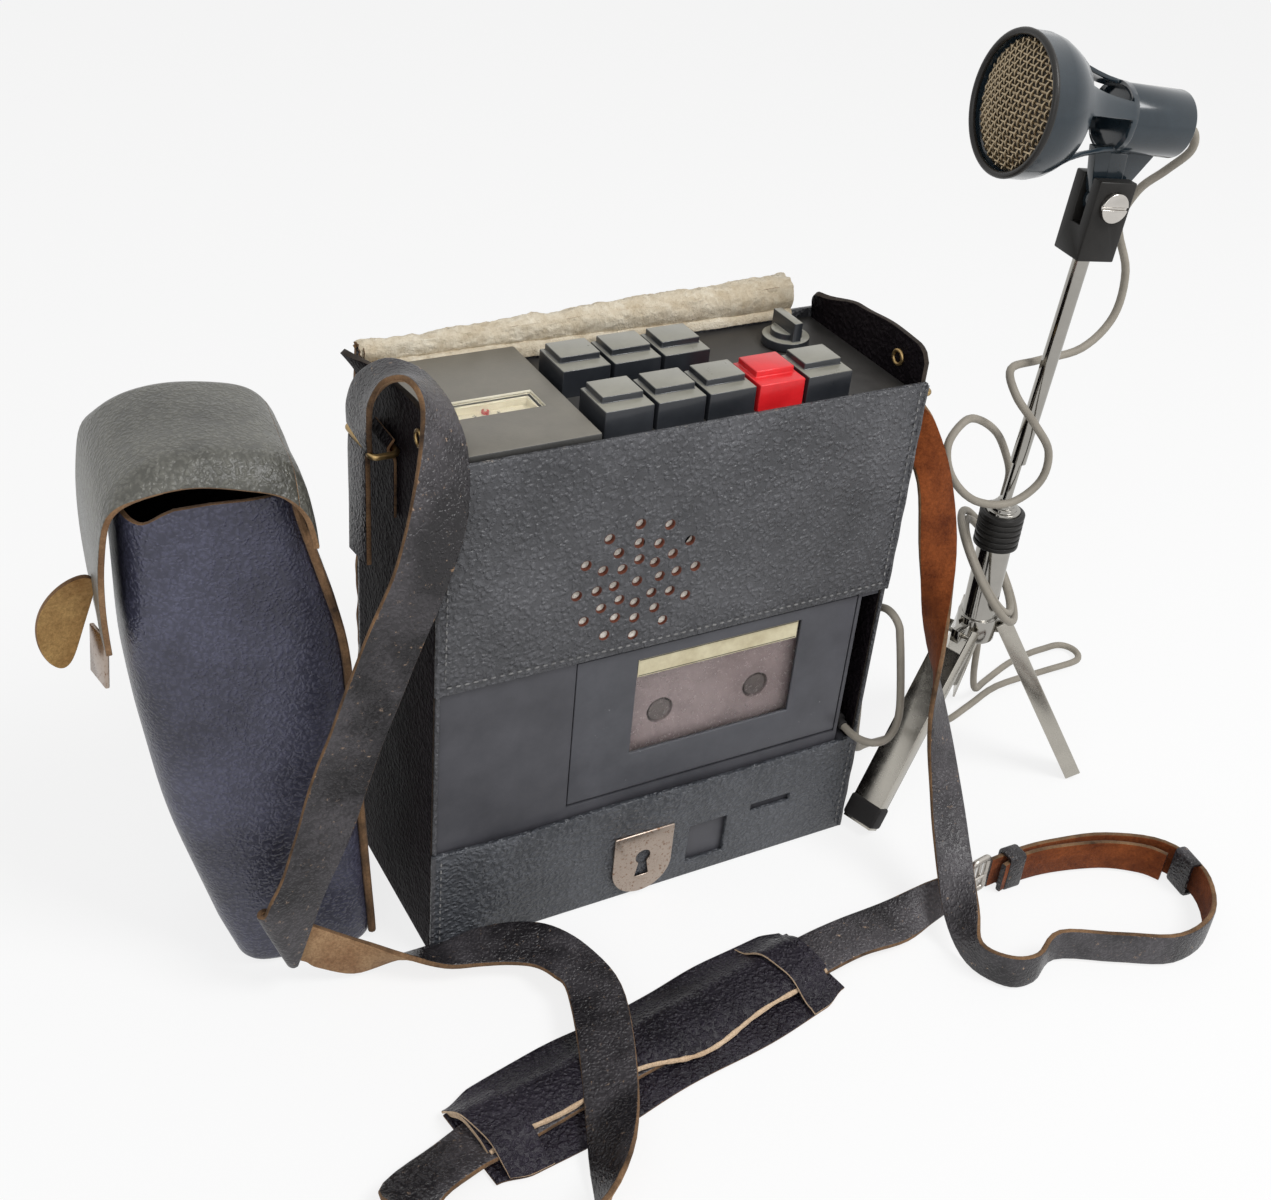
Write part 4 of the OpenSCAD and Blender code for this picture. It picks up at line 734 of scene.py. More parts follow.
# %% Rows of stitches
def stitch_row(bm, points, normal, pitch=3.2, long=2.1, wide=0.75):
    """Beads along a line, flat on the surface with this normal."""
    total = length_of(points)
    n = int(total / (pitch * MM))
    spots, seg, done = [], 0, 0.0
    for k in range(n):
        want = (k + 0.5) * total / n
        while done + (points[seg + 1] - points[seg]).length < want:
            done += (points[seg + 1] - points[seg]).length
            seg += 1
        d = (points[seg + 1] - points[seg]).normalized()
        spots.append((points[seg] + d * (want - done), d))
    for p, d in spots:
        across = normal.cross(d).normalized()
        up = d.cross(across)
        frame_of = Matrix((d * long / 2, across * wide / 2, up * wide / 2)).transposed().to_4x4()
        bmesh.ops.create_icosphere(bm, subdivisions=1, radius=MM, matrix=Matrix.Translation(p) @ frame_of)
    return n


bm = bmesh.new()
front = Vector((0, -1, 0))
across = ((-91, -37.9), (-45, -38.3), (0, -38.5), (45, -38.3), (91, -37.9))
count = stitch_row(bm, [mm(x, y, 125.6) for x, y in across], front)
for x in (-90.8, 90.8):
    count += stitch_row(bm, [mm(x, -37.7, 128), mm(x, -37.9, 160), mm(x, -37.7, 208)], front)
    count += stitch_row(bm, [mm(x, -37.7, 3), mm(x, -37.8, 30), mm(x, -37.9, 47)], front)
place("case_stitches", bm, [thread], "case", "case_leather")
print(count, "stitches on the front")

# %% Corner seams of the front
def evenly(first, last, steps):
    """Numbers from first to last, in even steps."""
    return [first + (last - first) * k / steps for k in range(steps + 1)]


bm = bmesh.new()
for s in (-1, 1):
    for z0, z1 in ((0.8, 49.3), (122.2, 209)):
        line = [mm(s * 93.5, -37.1 - 0.15 * math.sin(z * 0.4), z) for z in evenly(z0, z1, 60)]
        sweep(bm, round_rings(line, 0.95 * MM, 8))
    line = [mm(s * 92.9, -36.2, z) for z in evenly(50, 121.5, 40)]
    sweep(bm, round_rings(line, 0.8 * MM, 8))
layer = bm.verts.layers.float.new("worn")
for v in bm.verts:
    v[layer] = 0.55
place("corner_seams", bm, [case_leather], "case", "case_leather")

# %% [markdown]
# ## The flap, turned back
# The case's lid is turned right over, so its brushed flesh side faces up and to the back.
# At the hinge it makes a thick soft roll, thin at the left and full at the right, with a ragged nap.
# The sheet is a grid: across it runs the width, and along it the line over the roll and down the back.
# Its nap is too rough for an even thickness, which would throw spikes, so that setting is off here.

# %% Flap sheet
FLAP_WIDE, FLAP_LONG = 174, 224
ROLL_Y, ROLL_Z, ROLL_SHARE = 41.9, 213.8, 0.32


def roll_radius(u):
    """The roll is thin at the left and full at the right."""
    return 3.6 + 2.9 * step(u, 0.05, 0.98)


def on_flap(u, w):
    """A point of the flap, from its width and its length over the roll and down the back."""
    x = -91.5 + FLAP_WIDE * u
    r = roll_radius(u)
    if w < ROLL_SHARE:
        a = math.radians(262 - 262 * w / ROLL_SHARE)
        y, z = ROLL_Y + (r - 1) * math.cos(a), ROLL_Z + (r - 1) * math.sin(a)
    else:
        t = (w - ROLL_SHARE) / (1 - ROLL_SHARE)
        z = ROLL_Z - t * 205.5
        y = 44.5 + (r - 3.6) * (1 - step(t, 0.0, 0.2)) + 0.35 * math.sin(u * 9 + t * 4) * step(t, 0.1, 0.5)
    rough = noise.fractal(Vector((x, y * 1.4, z * 1.4)) * 0.11, 0.7, 2.1, 5)
    lift = 1.1 * rough * (1 - step(w, 0.22, 0.42))
    edge = 0.9 * noise.noise(Vector((w * 40, u * 3, 1.7)))
    x += edge * (abs(2 * u - 1) ** 12)
    return mm(x, y + 0.4 * lift, z + lift)


bm = bmesh.new()
for v, u, w in grid(bm, 150, 150):
    v.co = on_flap(u, w)
flap_sheet = sheet_piece("flap_sheet", bm, [roll_suede, cut_edge, case_leather], "flap", "flap_suede", HIDE,
                         ["top_flap"], worn=2.0, sharp=70)
flap_sheet.modifiers["thickness"].use_even_offset = False

# %% Stitched border of the flap
bm = bmesh.new()
proud, back = mm(0, 1.1, 0), Vector((0, 1, 0))
rows = [[(u, w) for w in evenly(0.36, 0.97, 60)] for u in (0.03, 0.97)]
rows.append([(u, 0.97) for u in evenly(0.03, 0.97, 60)])
count = sum(stitch_row(bm, [on_flap(u, w) + proud for u, w in row], back) for row in rows)
place("flap_stitches", bm, [thread], "flap", "flap_suede")
print(count, "stitches on the flap")

# %% Root of the flap, sewn behind the deck
bm = bmesh.new()
for v, u, w in grid(bm, 150, 24):
    r = roll_radius(u) + 0.7
    a = math.radians(140 + 80 * min(1.0, w / 0.6))
    low = max(0.0, (w - 0.6) / 0.4)
    y, z = ROLL_Y + r * math.cos(a), ROLL_Z + r * math.sin(a)
    y, z = y + (34.4 - y) * math.sin(low * math.pi / 2), z + (206.4 - z) * low ** 3
    rough = noise.fractal(Vector((u * 19, w * 3.1, 4.0)), 0.7, 2.1, 5)
    v.co = mm(-90.5 + 172.5 * u, y - 0.5 * rough, z + 0.5 * rough * (1 - low))
sheet_piece("flap_root", bm, [roll_suede, cut_edge, roll_suede], "case", "flap_suede", 0.8, sharp=70)

# %% [markdown]
# ## The recorder's deck
# Keys, meter housing, knob and lid are rigid mouldings whose CAD shape is right. Each is replaced by a
# merged copy with rounded edges, because sharp CAD edges never catch the light.

# %% Dust and painted sheen on the upper faces
def mark_upper(bm):
    """Writes which faces look up, as the attribute upper."""
    bm.normal_update()
    layer = bm.faces.layers.float.new("upper")
    for f in bm.faces:
        f[layer] = step(f.normal.z, 0.6, 0.97)
    return bm


def rounded_piece(name, node, width, finish, body, slot, segments=2, angle=35):
    """A CAD node's own shape with rounded edges, in its finish."""
    bm = mark_upper(round_edges(node_copy(node), width, segments, angle))
    return place(name, bm, [finish], body, slot, [node])


# Where a face looks up, the finish paints dust and a sheen of the light from above.
print("dust lies where a face looks up")

# %% Keys
for k in ("rewind", "stop", "play", "record", "forward", "eject", "pause", "battery"):
    finish, slot = (key_red, "key_red") if k == "record" else (key_black, "key_black")
    rounded_piece("keycap_" + k, "key_" + k, 0.45, finish, "key_" + k, slot, 3, 40)

# %% Meter housing, knob, lid and clasp
METER_X, METER_Y, METER_FLOOR = -63.2, -4.5, 211.2
bm = mark_upper(round_edges(node_copy("meter_panel"), 0.5))
for f in bm.faces:
    c = f.calc_center_median() / MM
    f.material_index = int(abs(c.x - METER_X) < 18.4 and abs(c.y - METER_Y) < 6.4 and c.z < METER_FLOOR)
place("meter_housing", bm, [panel_grey, meter_card], "case", "deck_plastic", ["meter_panel"])
rounded_piece("volume_dial", "volume_knob", 0.35, key_black, "knob", "deck_plastic", 2, 32)
rounded_piece("lid_frame", "cassette_lid", 0.35, lid_black, "lid", "housing_plastic", 2, 32)
rounded_piece("clasp_shield", "clasp_plate", 0.5, clasp_nickel, "case", "clasp_nickel", 3, 32)

# %% Meter face under its window
def slab(bm, centre, size, turned=Matrix()):
    """A box at a place, with its sizes in millimetres."""
    shape = Matrix.Diagonal((*(Vector(size) * MM), 1))
    bmesh.ops.create_cube(bm, size=1.0, matrix=Matrix.Translation(centre) @ turned @ shape)
    return bm


bm = slab(bmesh.new(), mm(METER_X, METER_Y, 206.7), (31.8, 7.8, 0.3))
place("meter_face", round_edges(bm, 0.1), [meter_card], "case", "meter_pane")
bm = bmesh.new()
for k in range(9):
    a = math.radians(-60 + 15 * k)
    d = Vector((math.sin(a) * 2.4, -math.cos(a), 0)).normalized()
    spin = Matrix((d, Vector((-d.y, d.x, 0)), Vector((0, 0, 1)))).transposed().to_4x4()
    slab(bm, mm(METER_X, -1.9, 206.97) + d * 4.6 * MM, (1.1, 0.22, 0.1), spin)
place("meter_scale", bm, [ink_black], "case", "meter_pane")

# %% Wire loops
def soft_box(half_u, half_v, corner, count):
    """Points of a rectangle with round corners, each with its direction outwards."""
    points = []
    for cu, cv, start in ((1, 1, 0), (-1, 1, 90), (-1, -1, 180), (1, -1, 270)):
        for k in range(count):
            a = math.radians(start + 90 * k / (count - 1))
            c, s = math.cos(a), math.sin(a)
            points.append((cu * (half_u - corner) + corner * c, cv * (half_v - corner) + corner * s, c, s))
    return points


def wire_loop(bm, centre, u, v, half_u, half_v, corner, radius, sides=12):
    """A closed rectangular loop of round wire."""
    line = [centre + (a * u + b * v) * MM for a, b, c, s in soft_box(half_u, half_v, corner, 7)]
    sweep(bm, round_rings(line, radius * MM, sides, closed=True), closed=True)


RIGHT, BACK, UP = Vector((1, 0, 0)), Vector((0, 1, 0)), Vector((0, 0, 1))
print("wire loops ready")

# %% Rim of the lid's window
PANE_X, PANE_Z = 21.5, 93.2
pane_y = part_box("lid_window")[0].y / MM
bm = bmesh.new()
wire_loop(bm, mm(PANE_X, pane_y - 0.1, PANE_Z), RIGHT, UP, 36.1, 22.3, 0.8, 0.65, 8)
place("window_rim", bm, [key_black], "lid", "housing_plastic")

# %% Label strip above the lid's window
bm = slab(bmesh.new(), mm(PANE_X, pane_y - 0.12, 110.4), (69.5, 0.14, 8.2))
place("label_strip", round_edges(bm, 0.05, 1), [cream_card], "lid", "meter_pane")
bm = bmesh.new()
for z in (106.9, 113.9):
    slab(bm, mm(PANE_X, pane_y - 0.2, z), (68.5, 0.1, 0.3))
place("label_rules", bm, [ink_black], "lid", "housing_plastic")

# %% Finishes of the CAD nodes that stay
kept = {"front_housing": housing_black, "rear_housing": housing_black, "top_deck": deck_grey,
        "meter_window": meter_pane, "meter_needle": needle_red, "lid_window": lid_pane,
        "cassette_shell": smoky_plastic, "supply_reel": tape_brown, "takeup_reel": tape_brown,
        "supply_spindle": hub_white, "takeup_spindle": hub_white, "chassis_plate": zinc_steel,
        "flywheel": turned_brass, "motor": zinc_steel, "motor_pulley": turned_brass, "drive_belt": rubber_black,
        "head_bridge": zinc_steel, "pinch_roller": rubber_black, "circuit_board": board_green,
        "loudspeaker": paper_cone, "battery_cells": cell_jacket, "housing_screws": zinc_steel,
        "stand_tube": chrome, "mic_grille": paper_cone}
for name, finish in kept.items():
    nodes[name].data.materials.clear()
    nodes[name].data.materials.append(finish)
print(len(kept), "CAD nodes keep their shape")

# %% [markdown]
# ## Eyelets, rings and buckle
# The strap hangs on two rectangular wire rings, and brass eyelets line the holes in the ears.
# A ring is one round wire swept round a closed line with soft corners.

# %% Rings and eyelets
def eyelet(bm, x, y, z):
    """A rolled brass ring on each face of the leather, and the tube between them."""
    for s in (-1, 1):
        ring = [mm(x + s * 1.25, y + 2.6 * math.cos(a), z + 2.6 * math.sin(a)) for a in full_turn(32)]
        sweep(bm, round_rings(ring, 0.75 * MM, 10, closed=True), closed=True)
    sweep(bm, round_rings([mm(x + dx, y, z) for dx in (-1.3, 0, 1.3)], 2.0 * MM, 24), caps=False)


RING_Z = 200
strap_rings = ((-1, 6), (1, -16))
bm = bmesh.new()
for s, y in strap_rings:
    wire_loop(bm, mm(s * 99.7, y, RING_Z), RIGHT, BACK, 4.5, 12, 2.2, 1.15)
for s in (-1, 1):
    eyelet(bm, s * SIDE_X, -20.8, 213)
place("rings_and_eyelets", bm, [aged_brass], "case", "fitting_brass", ["case_fittings"])

# %% Ring keepers on the case's sides
bm = bmesh.new()
for s, y in strap_rings:
    for v, u, w in grid(bm, 12, 30):
        z = 203.5 - 30 * w
        bow = 2.6 * math.exp(-((z - RING_Z) / 2.6) ** 2)
        v.co = mm(s * (94.9 + bow), y - 8.5 + 17 * u, z)
# The keepers' outer face is the darkened copy of the case leather, painted shade.
sheet_piece("ring_keepers", bm, [shaded_side_leather, strap_edge, strap_suede], "case", "strap_leather", 1.2, worn=2.0,
            inside=mm(0, 0, 190))

# %% Buckle
buckle_at = mm(122.2, -94, 9.8)
a = math.radians(9)
run, out = Vector((math.cos(a), math.sin(a), 0)), Vector((math.sin(a), -math.cos(a), 0))
bm = bmesh.new()
wire_loop(bm, buckle_at, run, UP, 4.5, 8, 2, 1.4)
sweep(bm, round_rings([buckle_at + mm(0, 0, dz) for dz in (-7.6, 0, 7.6)], 0.9 * MM, 10))
prong = [buckle_at + (run * t + out * 1.4) * MM for t in (-6.5, -3, 0, 1.5)]
sweep(bm, round_rings(eased(prong, 4), 0.7 * MM, 8))
place("buckle_frame", bm, [worn_steel], "case", "buckle_steel", ["strap_buckle"])

# %% [markdown]
# ## Straps
# A strap is a flat outline with round edges, swept along its line while its width turns.
# The grain side is black and worn through to brown at the edges, and the back is brown suede.
# At the lower left the long strap is folded over a slanting crease, so its suede shows beyond it.
# The short strap makes a half turn on its way down, so its suede shows above and its grain below.

# %% Strap sweep
OUTLINE = [(-1, -0.4), (-1, 0.4), (-0.97, 0.85), (-0.92, 1), (-0.5, 1.06), (0, 1.08), (0.5, 1.06), (0.92, 1),
           (0.97, 0.85), (1, 0.4), (1, -0.4), (0.97, -0.85), (0.92, -1), (0, -1), (-0.92, -1), (-0.97, -0.85)]
LONG_WIDE, SHORT_WIDE, STRAP_THICK, STRAP_STEPS = 20, 15, 2.2, 5


def edges_of(route, width):
    """The two edges of a strap, from places on its middle line and the direction of its width there."""
    line = [Vector(p) for p, s in route]
    pairs = []
    for q, d, (p, s) in zip(line, directions(line), route):
        across = Vector(s) - d * Vector(s).dot(d)
        pairs.append((q - across.normalized() * width / 2, q + across.normalized() * width / 2))
    return pairs


def strap(name, pairs, thick=STRAP_THICK, stands_for=(), flesh=strap_suede):
    """Sweeps a strap between its two edges, grain side up."""
    left, right = (eased([mm(*pair[side]) for pair in pairs], STRAP_STEPS) for side in (0, 1))
    line = [(a + b) / 2 for a, b in zip(left, right)]
    rings = []
    for p, a, b, d in zip(line, left, right, directions(line)):
        n = d.cross(b - a).normalized() * thick / 2 * MM
        ripple = 1 + 0.03 * noise.noise(p * 60)
        rings.append([p + (b - a) / 2 * u * ripple + n * h for u, h in OUTLINE])
    bm = bmesh.new()
    layer = bm.verts.layers.float.new("worn")
    rows = sweep(bm, rings)
    for row in rows:
        for v, (u, h) in zip(row, OUTLINE):
            v[layer] = 0.45 + 0.27 * abs(u) ** 4
    for r0, r1 in zip(rows, rows[1:]):
        for k in range(len(OUTLINE)):
            f = next((f for f in r0[k].link_faces if r0[k - 1] in f.verts and r1[k] in f.verts), None)
            h = OUTLINE[k - 1][1] + OUTLINE[k][1]
            if f:
                f.material_index = 1 if h < -1.5 else 2 if abs(h) < 1.3 else 0
    print(name, round(length_of(line), 3), "m long")
    return place(name, bm, [strap_leather, flesh, strap_edge], "case", "strap_leather", stands_for, sharp=60)


print("strap outline of", len(OUTLINE), "points")

# %% Long strap
from_ring = [
    ((-104.2, 6, 201.7), (0, 1, 0)), ((-104.6, 5, 209), (0, 1, 0)), ((-104.2, 1, 218), (0.05, 1, -0.1)),
    ((-101.5, -5, 226.5), (0.15, 1, -0.2)), ((-96.5, -11, 230.5), (0.25, 1, -0.28)),
    ((-92, -18, 230), (0.4, 0.95, -0.25)), ((-90.5, -27, 225.5), (0.65, 0.75, -0.15)),
    ((-92.5, -36.5, 215), (0.9, 0.4, -0.05)), ((-97.5, -44.5, 198), (1, 0.1, 0)), ((-104, -47.5, 179), (1, 0, 0)),
    ((-112, -45, 155), (1, -0.1, 0)), ((-120.5, -40, 123), (1, -0.1, 0)),
    ((-127.5, -37, 98), (1, -0.1, 0.1)), ((-134, -36, 74), (1, -0.1, 0.2))]
fold = [
    ((-149, -36.2, 60), (-134, -36.2, 48)), ((-154.2, -36.2, 48.7), (-143.7, -36.2, 19.7)),
    ((-156, -36, 44), (-145.5, -36, 15)),
    ((-157.6, -34.4, 43.4), (-147.1, -34.4, 14.4)), ((-156, -32.8, 44), (-145.5, -32.8, 15)),
    ((-151.7, -32.5, 41.5), (-141.2, -32.5, 12.5)), ((-137, -33, 29), (-137, -33.4, 8.6)),
    ((-121, -37, 18.5), (-124, -35.5, 2)),
    ((-108, -46, 14), (-108.5, -35, 2)), ((-95, -53, 9.5), (-92, -36, 3.5)), ((-82, -56, 7.5), (-76, -37.5, 6.5)),
    ((-71, -60, 7.5), (-62, -42.5, 9)), ((-64, -65, 8), (-50, -51, 10)), ((-61, -74, 10), (-42.5, -67, 11))]
to_pad = [
    ((-50, -86, 10.6), (1, 0, 0.1)), ((-60, -116, 10.6), (1, -0.3, 0.1)), ((-76, -150, 10.4), (0.7, -0.3, 0.7)),
    ((-94, -174, 10.4), (0, 0, 1)), ((-122, -177, 10.4), (0, 0, 1)), ((-145, -158, 10.4), (0.2, 0.3, 0.9)),
    ((-143, -138, 7), (0.1, 0.9, -0.1)), ((-123, -129, 5.2), (0.1, 0.9, -0.2)),
    ((-106, -124.3, 4.5), (-0.1, 1, -0.05)),
    ((-78, -118.5, 4.2), (-0.15, 1, 0)), ((-40, -112.5, 4.2), (-0.15, 1, 0)), ((0, -106, 4.2), (-0.15, 1, 0)),
    ((34, -100.5, 4.3), (-0.15, 1, 0)), ((56, -98, 4.4), (0, 1, 0)), ((78, -98, 4.4), (0, 1, 0.1))]
to_buckle = [((97, -97, 7.9), (0, 0.7, 0.7)), ((115.7, -95.1, 7.9), (0, 0.15, 1))]
long_edges = edges_of(from_ring, LONG_WIDE) + fold + edges_of(to_pad, LONG_WIDE) + edges_of(to_buckle, SHORT_WIDE)
strap("long_strap", long_edges, stands_for=["strap_long"], flesh=long_suede)

# %% Riveted end of the long strap, hanging from the ring
ring_tab = [(p, (0, -1, 0)) for p in ((-104.4, 5.5, 200), (-104.8, 5, 195), (-105.4, 3, 180), (-106.5, 0, 160))]
strap("strap_tab", edges_of(ring_tab, 17), 2.0)

# %% Short strap with its half turn
short_route = [
    ((104.2, -16, 198.3), (0, 1, 0)), ((104.4, -16, 194), (0, 1, 0)), ((104.8, -17, 189), (-0.2, 0.9, 0)),
    ((106, -22, 182), (-0.7, 0.6, 0.2)), ((109, -34, 166), (-1, 0.1, 0.1)), ((109, -45, 138), (-0.95, 0.3, 0)),
    ((108, -54, 108), (0.1, 1, 0)), ((110, -63, 74), (0.85, 0.5, 0)), ((110, -77, 46), (1, 0.1, 0.1)),
    ((105, -94, 28), (0.9, 0.1, 0.3)), ((98, -113, 15), (0.6, 0.1, 0.8))]
on_edge = [(95, -127), (101, -140), (112, -143), (128, -137), (150, -148), (172, -158), (194, -153), (208, -134),
           (205, -114), (185, -100), (160, -94), (142, -92.5), (128.6, -92.9)]
short_route += [((x, y, 7.9), (0, 0, 1)) for x, y in on_edge]
strap("short_strap", edges_of(short_route, SHORT_WIDE), stands_for=["strap_short"])

# %% Free end of the short strap, back through its keepers
free_end = [(201, -120), (196, -112.5), (182, -103.5), (160, -97.2), (143, -95.6), (132, -97.5)]
strap("strap_end", edges_of([((x, y, 7.6), (0, 0, 1)) for x, y in free_end], 14.4))


def keeper(bm, centre, along, deep, tall, broad):
    """A loop of leather round a strap: a flat outline swept round a closed line with soft corners."""
    out = Vector((-along.y, along.x, 0))
    rings = []
    for u, v, c, s in soft_box(deep, tall, 1.2, 5):
        mid, way = centre + (out * u + UP * v) * MM, out * c + UP * s
        rings.append([mid + (along * broad / 2 * i + way * 0.7 * j) * MM for i, j in
                      ((-1, -1), (-1, 0.6), (-0.85, 1), (0.85, 1), (1, 0.6), (1, -1))])
    sweep(bm, rings, closed=True)


bm = bmesh.new()
keeper(bm, mm(206.8, -126, 8.2), Vector((0.15, 0.99, 0)), 2.2, 8.2, 11)
keeper(bm, mm(139, -94.2, 8.2), Vector((1, -0.02, 0)), 3.6, 8.2, 8)
layer = bm.verts.layers.float.new("worn")
for v in bm.verts:
    v[layer] = 0.62
place("strap_keepers", bm, [strap_leather], "case", "strap_leather")

# %% [markdown]
# ## Shoulder pad
# The pad is a leather sleeve round the strap: a soft lower sheet, an upper sheet folded over it whose cut
# edge wanders along the middle, and a narrow bridge near each end that holds the strap.
# It is a padded piece, so its top is crowned and its border is thin.

# %% Pad sheets
PAD_X, PAD_Y, PAD_LONG = -38, -112, 158
below_pad = mm(PAD_X, PAD_Y, -900)
pad_turn = math.radians(9)
pad_run = Vector((math.cos(pad_turn), math.sin(pad_turn), 0))
pad_wide = Vector((-math.sin(pad_turn), math.cos(pad_turn), 0))


def on_pad(s, t, z):
    """A point of the pad, from its length, its width and its height."""
    return mm(PAD_X, PAD_Y, z) + (pad_run * s + pad_wide * t) * MM


def pad_end(s):
    """Half the pad's width, which draws in towards its ends."""
    return 21 - 3.5 * step(abs(s), 66, 79) - 0.8 * math.cos(s / 12)


bm = bmesh.new()
for v, u, w in grid(bm, 80, 22):
    s = PAD_LONG * (u - 0.5)
    t = (2 * w - 1) * pad_end(s)
    crown = (1 - (2 * w - 1) ** 4) * (1 - (2 * u - 1) ** 10)
    v.co = on_pad(s, t, 0.5 + 1.5 * crown)
pad_low = sheet_piece("pad_low", bm, [pad_leather, strap_edge, strap_suede], "case", "strap_leather", 0.9,
                      ["shoulder_pad"], worn=2.5, inside=below_pad)

# %% Upper fold and its cut edge
def on_fold(u, w):
    """A point of the upper sheet, from its length and its width, with the cut edge at a width of nought."""
    s = -77.5 + 153 * u
    edge = -9.5 + 2.5 * math.sin(u * 7.0) + 1.2 * math.sin(u * 17 + 1)
    t = edge + (pad_end(s) + 0.2 - edge) * w
    hump = math.exp(-((t - 0.4) / 11.5) ** 4)
    return on_pad(s, t, 2.6 + 5.4 * hump + 0.15 * math.sin(u * 30 + w * 5) - 1.3 * step(w, 0.75, 1.0))


bm = bmesh.new()
for v, u, w in grid(bm, 90, 24):
    v.co = on_fold(u, w)
sheet_piece("pad_fold", bm, [pad_leather, raw_edge, strap_suede], "case", "strap_leather", HIDE, worn=2.6,
            inside=below_pad)
bm = bmesh.new()
rim = [on_fold(u, 0.0) - pad_wide * 0.4 * MM for u in evenly(0.005, 0.995, 120)]
sweep(bm, [[p + (q - p) * (0.92 + 0.3 * noise.noise(p * 260)) for q in ring]
           for p, ring in zip(rim, round_rings(rim, 1.15 * MM, 8))])
place("pad_edge", bm, [raw_edge], "case", "strap_leather")

# %% Bridges that hold the strap
bm = bmesh.new()
for s0, long in ((-69, 16), (64, 14)):
    for v, u, w in grid(bm, 10, 40):
        s = s0 + long * (u - 0.5) - 2.5 * (2 * w - 1)
        t = (2 * w - 1) * (pad_end(s) + 0.2)
        hump = math.exp(-(t / 13.5) ** 4)
        v.co = on_pad(s, t, 2.5 + 8.0 * hump - 1.0 * step(abs(2 * w - 1), 0.88, 1.0))
sheet_piece("pad_bridges", bm, [pad_leather, raw_edge, strap_suede], "case", "strap_leather", 1.0, worn=2.2,
            inside=below_pad)

# %% [markdown]
# ## Pouch
# The pouch beside the case is a soft bag of the same hide, wider at its belly, with an open mouth under a
# hood. Its body is lofted: an outline with round corners is swept upwards while its width follows the
# bag's profile. The hood is a grid bent over the mouth, with a lip that droops in front.

# %% Pouch frame and profile
POUCH_TOP, POUCH_Y, HOOD_DEEP = 200, 8, 62.4
pouch_turn = math.radians(-6.6)


def in_pouch(x, y, z):
    """A point of the pouch, which stands turned about its front."""
    dx, dy = x + 135, y + 20
    c, s = math.cos(pouch_turn), math.sin(pouch_turn)
    return mm(-135 + c * dx - s * dy, -20 + s * dx + c * dy, z)


def profile_at(z, stops):
    """A smooth value between stops: the mean of five straight-line values round a height."""
    total = 0.0
    for k in (-12, -6, 0, 6, 12):
        q = min(max(z + k, stops[0][0]), stops[-1][0])
        a, b = next((a, b) for a, b in zip(stops, stops[1:]) if q <= b[0])
        total += a[1] + (b[1] - a[1]) * (q - a[0]) / (b[0] - a[0])
    return total / 5


def pouch_ring(z, grow, corner=5.0, count=64):
    """One ring of the bag at a height, a box with round corners that bulges a little."""
    left = profile_at(z, [(0, -158.5), (8, -163.5), (74, -181), (130, -188.5), (200, -187.5)])
    right = profile_at(z, [(0, -109), (140, -116.5), (200, -133.5)])
    cx, hx = (left + right) / 2, (right - left) / 2 * grow
    hy = 27.6 * grow
    ring = []
    for a in full_turn(count):
        c, s = math.cos(a), math.sin(a)
        x = cx + hx * math.copysign(abs(c) ** (2 / corner), c)
        y = POUCH_Y + hy * math.copysign(abs(s) ** (2 / corner), s)
        crease = 0.7 * noise.noise(Vector((x * 0.05, z * 0.02, y * 0.05)))
        sag = 1.2 * math.sin(math.pi * min(1.0, z / POUCH_TOP)) * (1 - abs(c) ** 2) * (-1 if s < 0 else 0.3)
        dip = 6.0 * step(z, 160, POUCH_TOP) * max(0.0, -s) * step(-c, -0.05, 0.55)
        ring.append(in_pouch(x, y + crease + sag * 0.8, z - dip))
    return ring


print("bag at half height", [round(c, 3) for c in pouch_ring(100, 1.0)[0]])

# %% Pouch body
heights = [0.6, 1.2, 3, 6] + evenly(10, POUCH_TOP, 38)
grows = [0.90, 0.955, 0.985, 0.995] + [1.0] * 39
bm = bmesh.new()
layer = bm.verts.layers.float.new("worn")
rows = sweep(bm, [pouch_ring(z, g) for z, g in zip(heights, grows)], caps=False)
bmesh.ops.edgeloop_fill(bm, edges=[e for e in bm.edges if e.is_boundary and e.verts[0].co.z < 0.001])
for row, z in zip(rows, heights):
    for k, v in enumerate(row):
        corner = 0.75 * math.exp(-((k - 58) / 1.3) ** 2) * step(z, 20, 90)
        v[layer] = max(0.9 * step(z, 197, POUCH_TOP), corner, 0.3 * step(-z, -6, 0))
sheet_piece("pouch_bag", bm, [pouch_leather, strap_edge, dark_suede], "case", "pouch_leather", HIDE, ["pouch_body"],
            sharp=60, offset=-1.0)

# %% Welt along the front corner of the bag
middle = in_pouch(-150, POUCH_Y, 0)
line = []
for z in evenly(3, 197, 60):
    p = pouch_ring(z, 1.0)[57]
    away = Vector((p.x - middle.x, p.y - middle.y, 0)).normalized()
    line.append(p + away * 1.3 * MM)
bm = bmesh.new()
sweep(bm, round_rings(line, 1.5 * MM, 8))
place("pouch_welt", bm, [strap_edge], "case", "pouch_leather")

# %% Pouch hood
hood_stops = ((4, -16), (1, -4), (-6, 4.5), (-18, 8.3), (-34, 9.2), (-48, 5.5), (-57, -4), (-60.5, -20),
              (-61.5, -39), (-61, -61))
profile = eased([Vector(p) for p in hood_stops], 6)
HINGE = 8.5 / 54
under_hood = in_pouch(-160, POUCH_Y, 175)


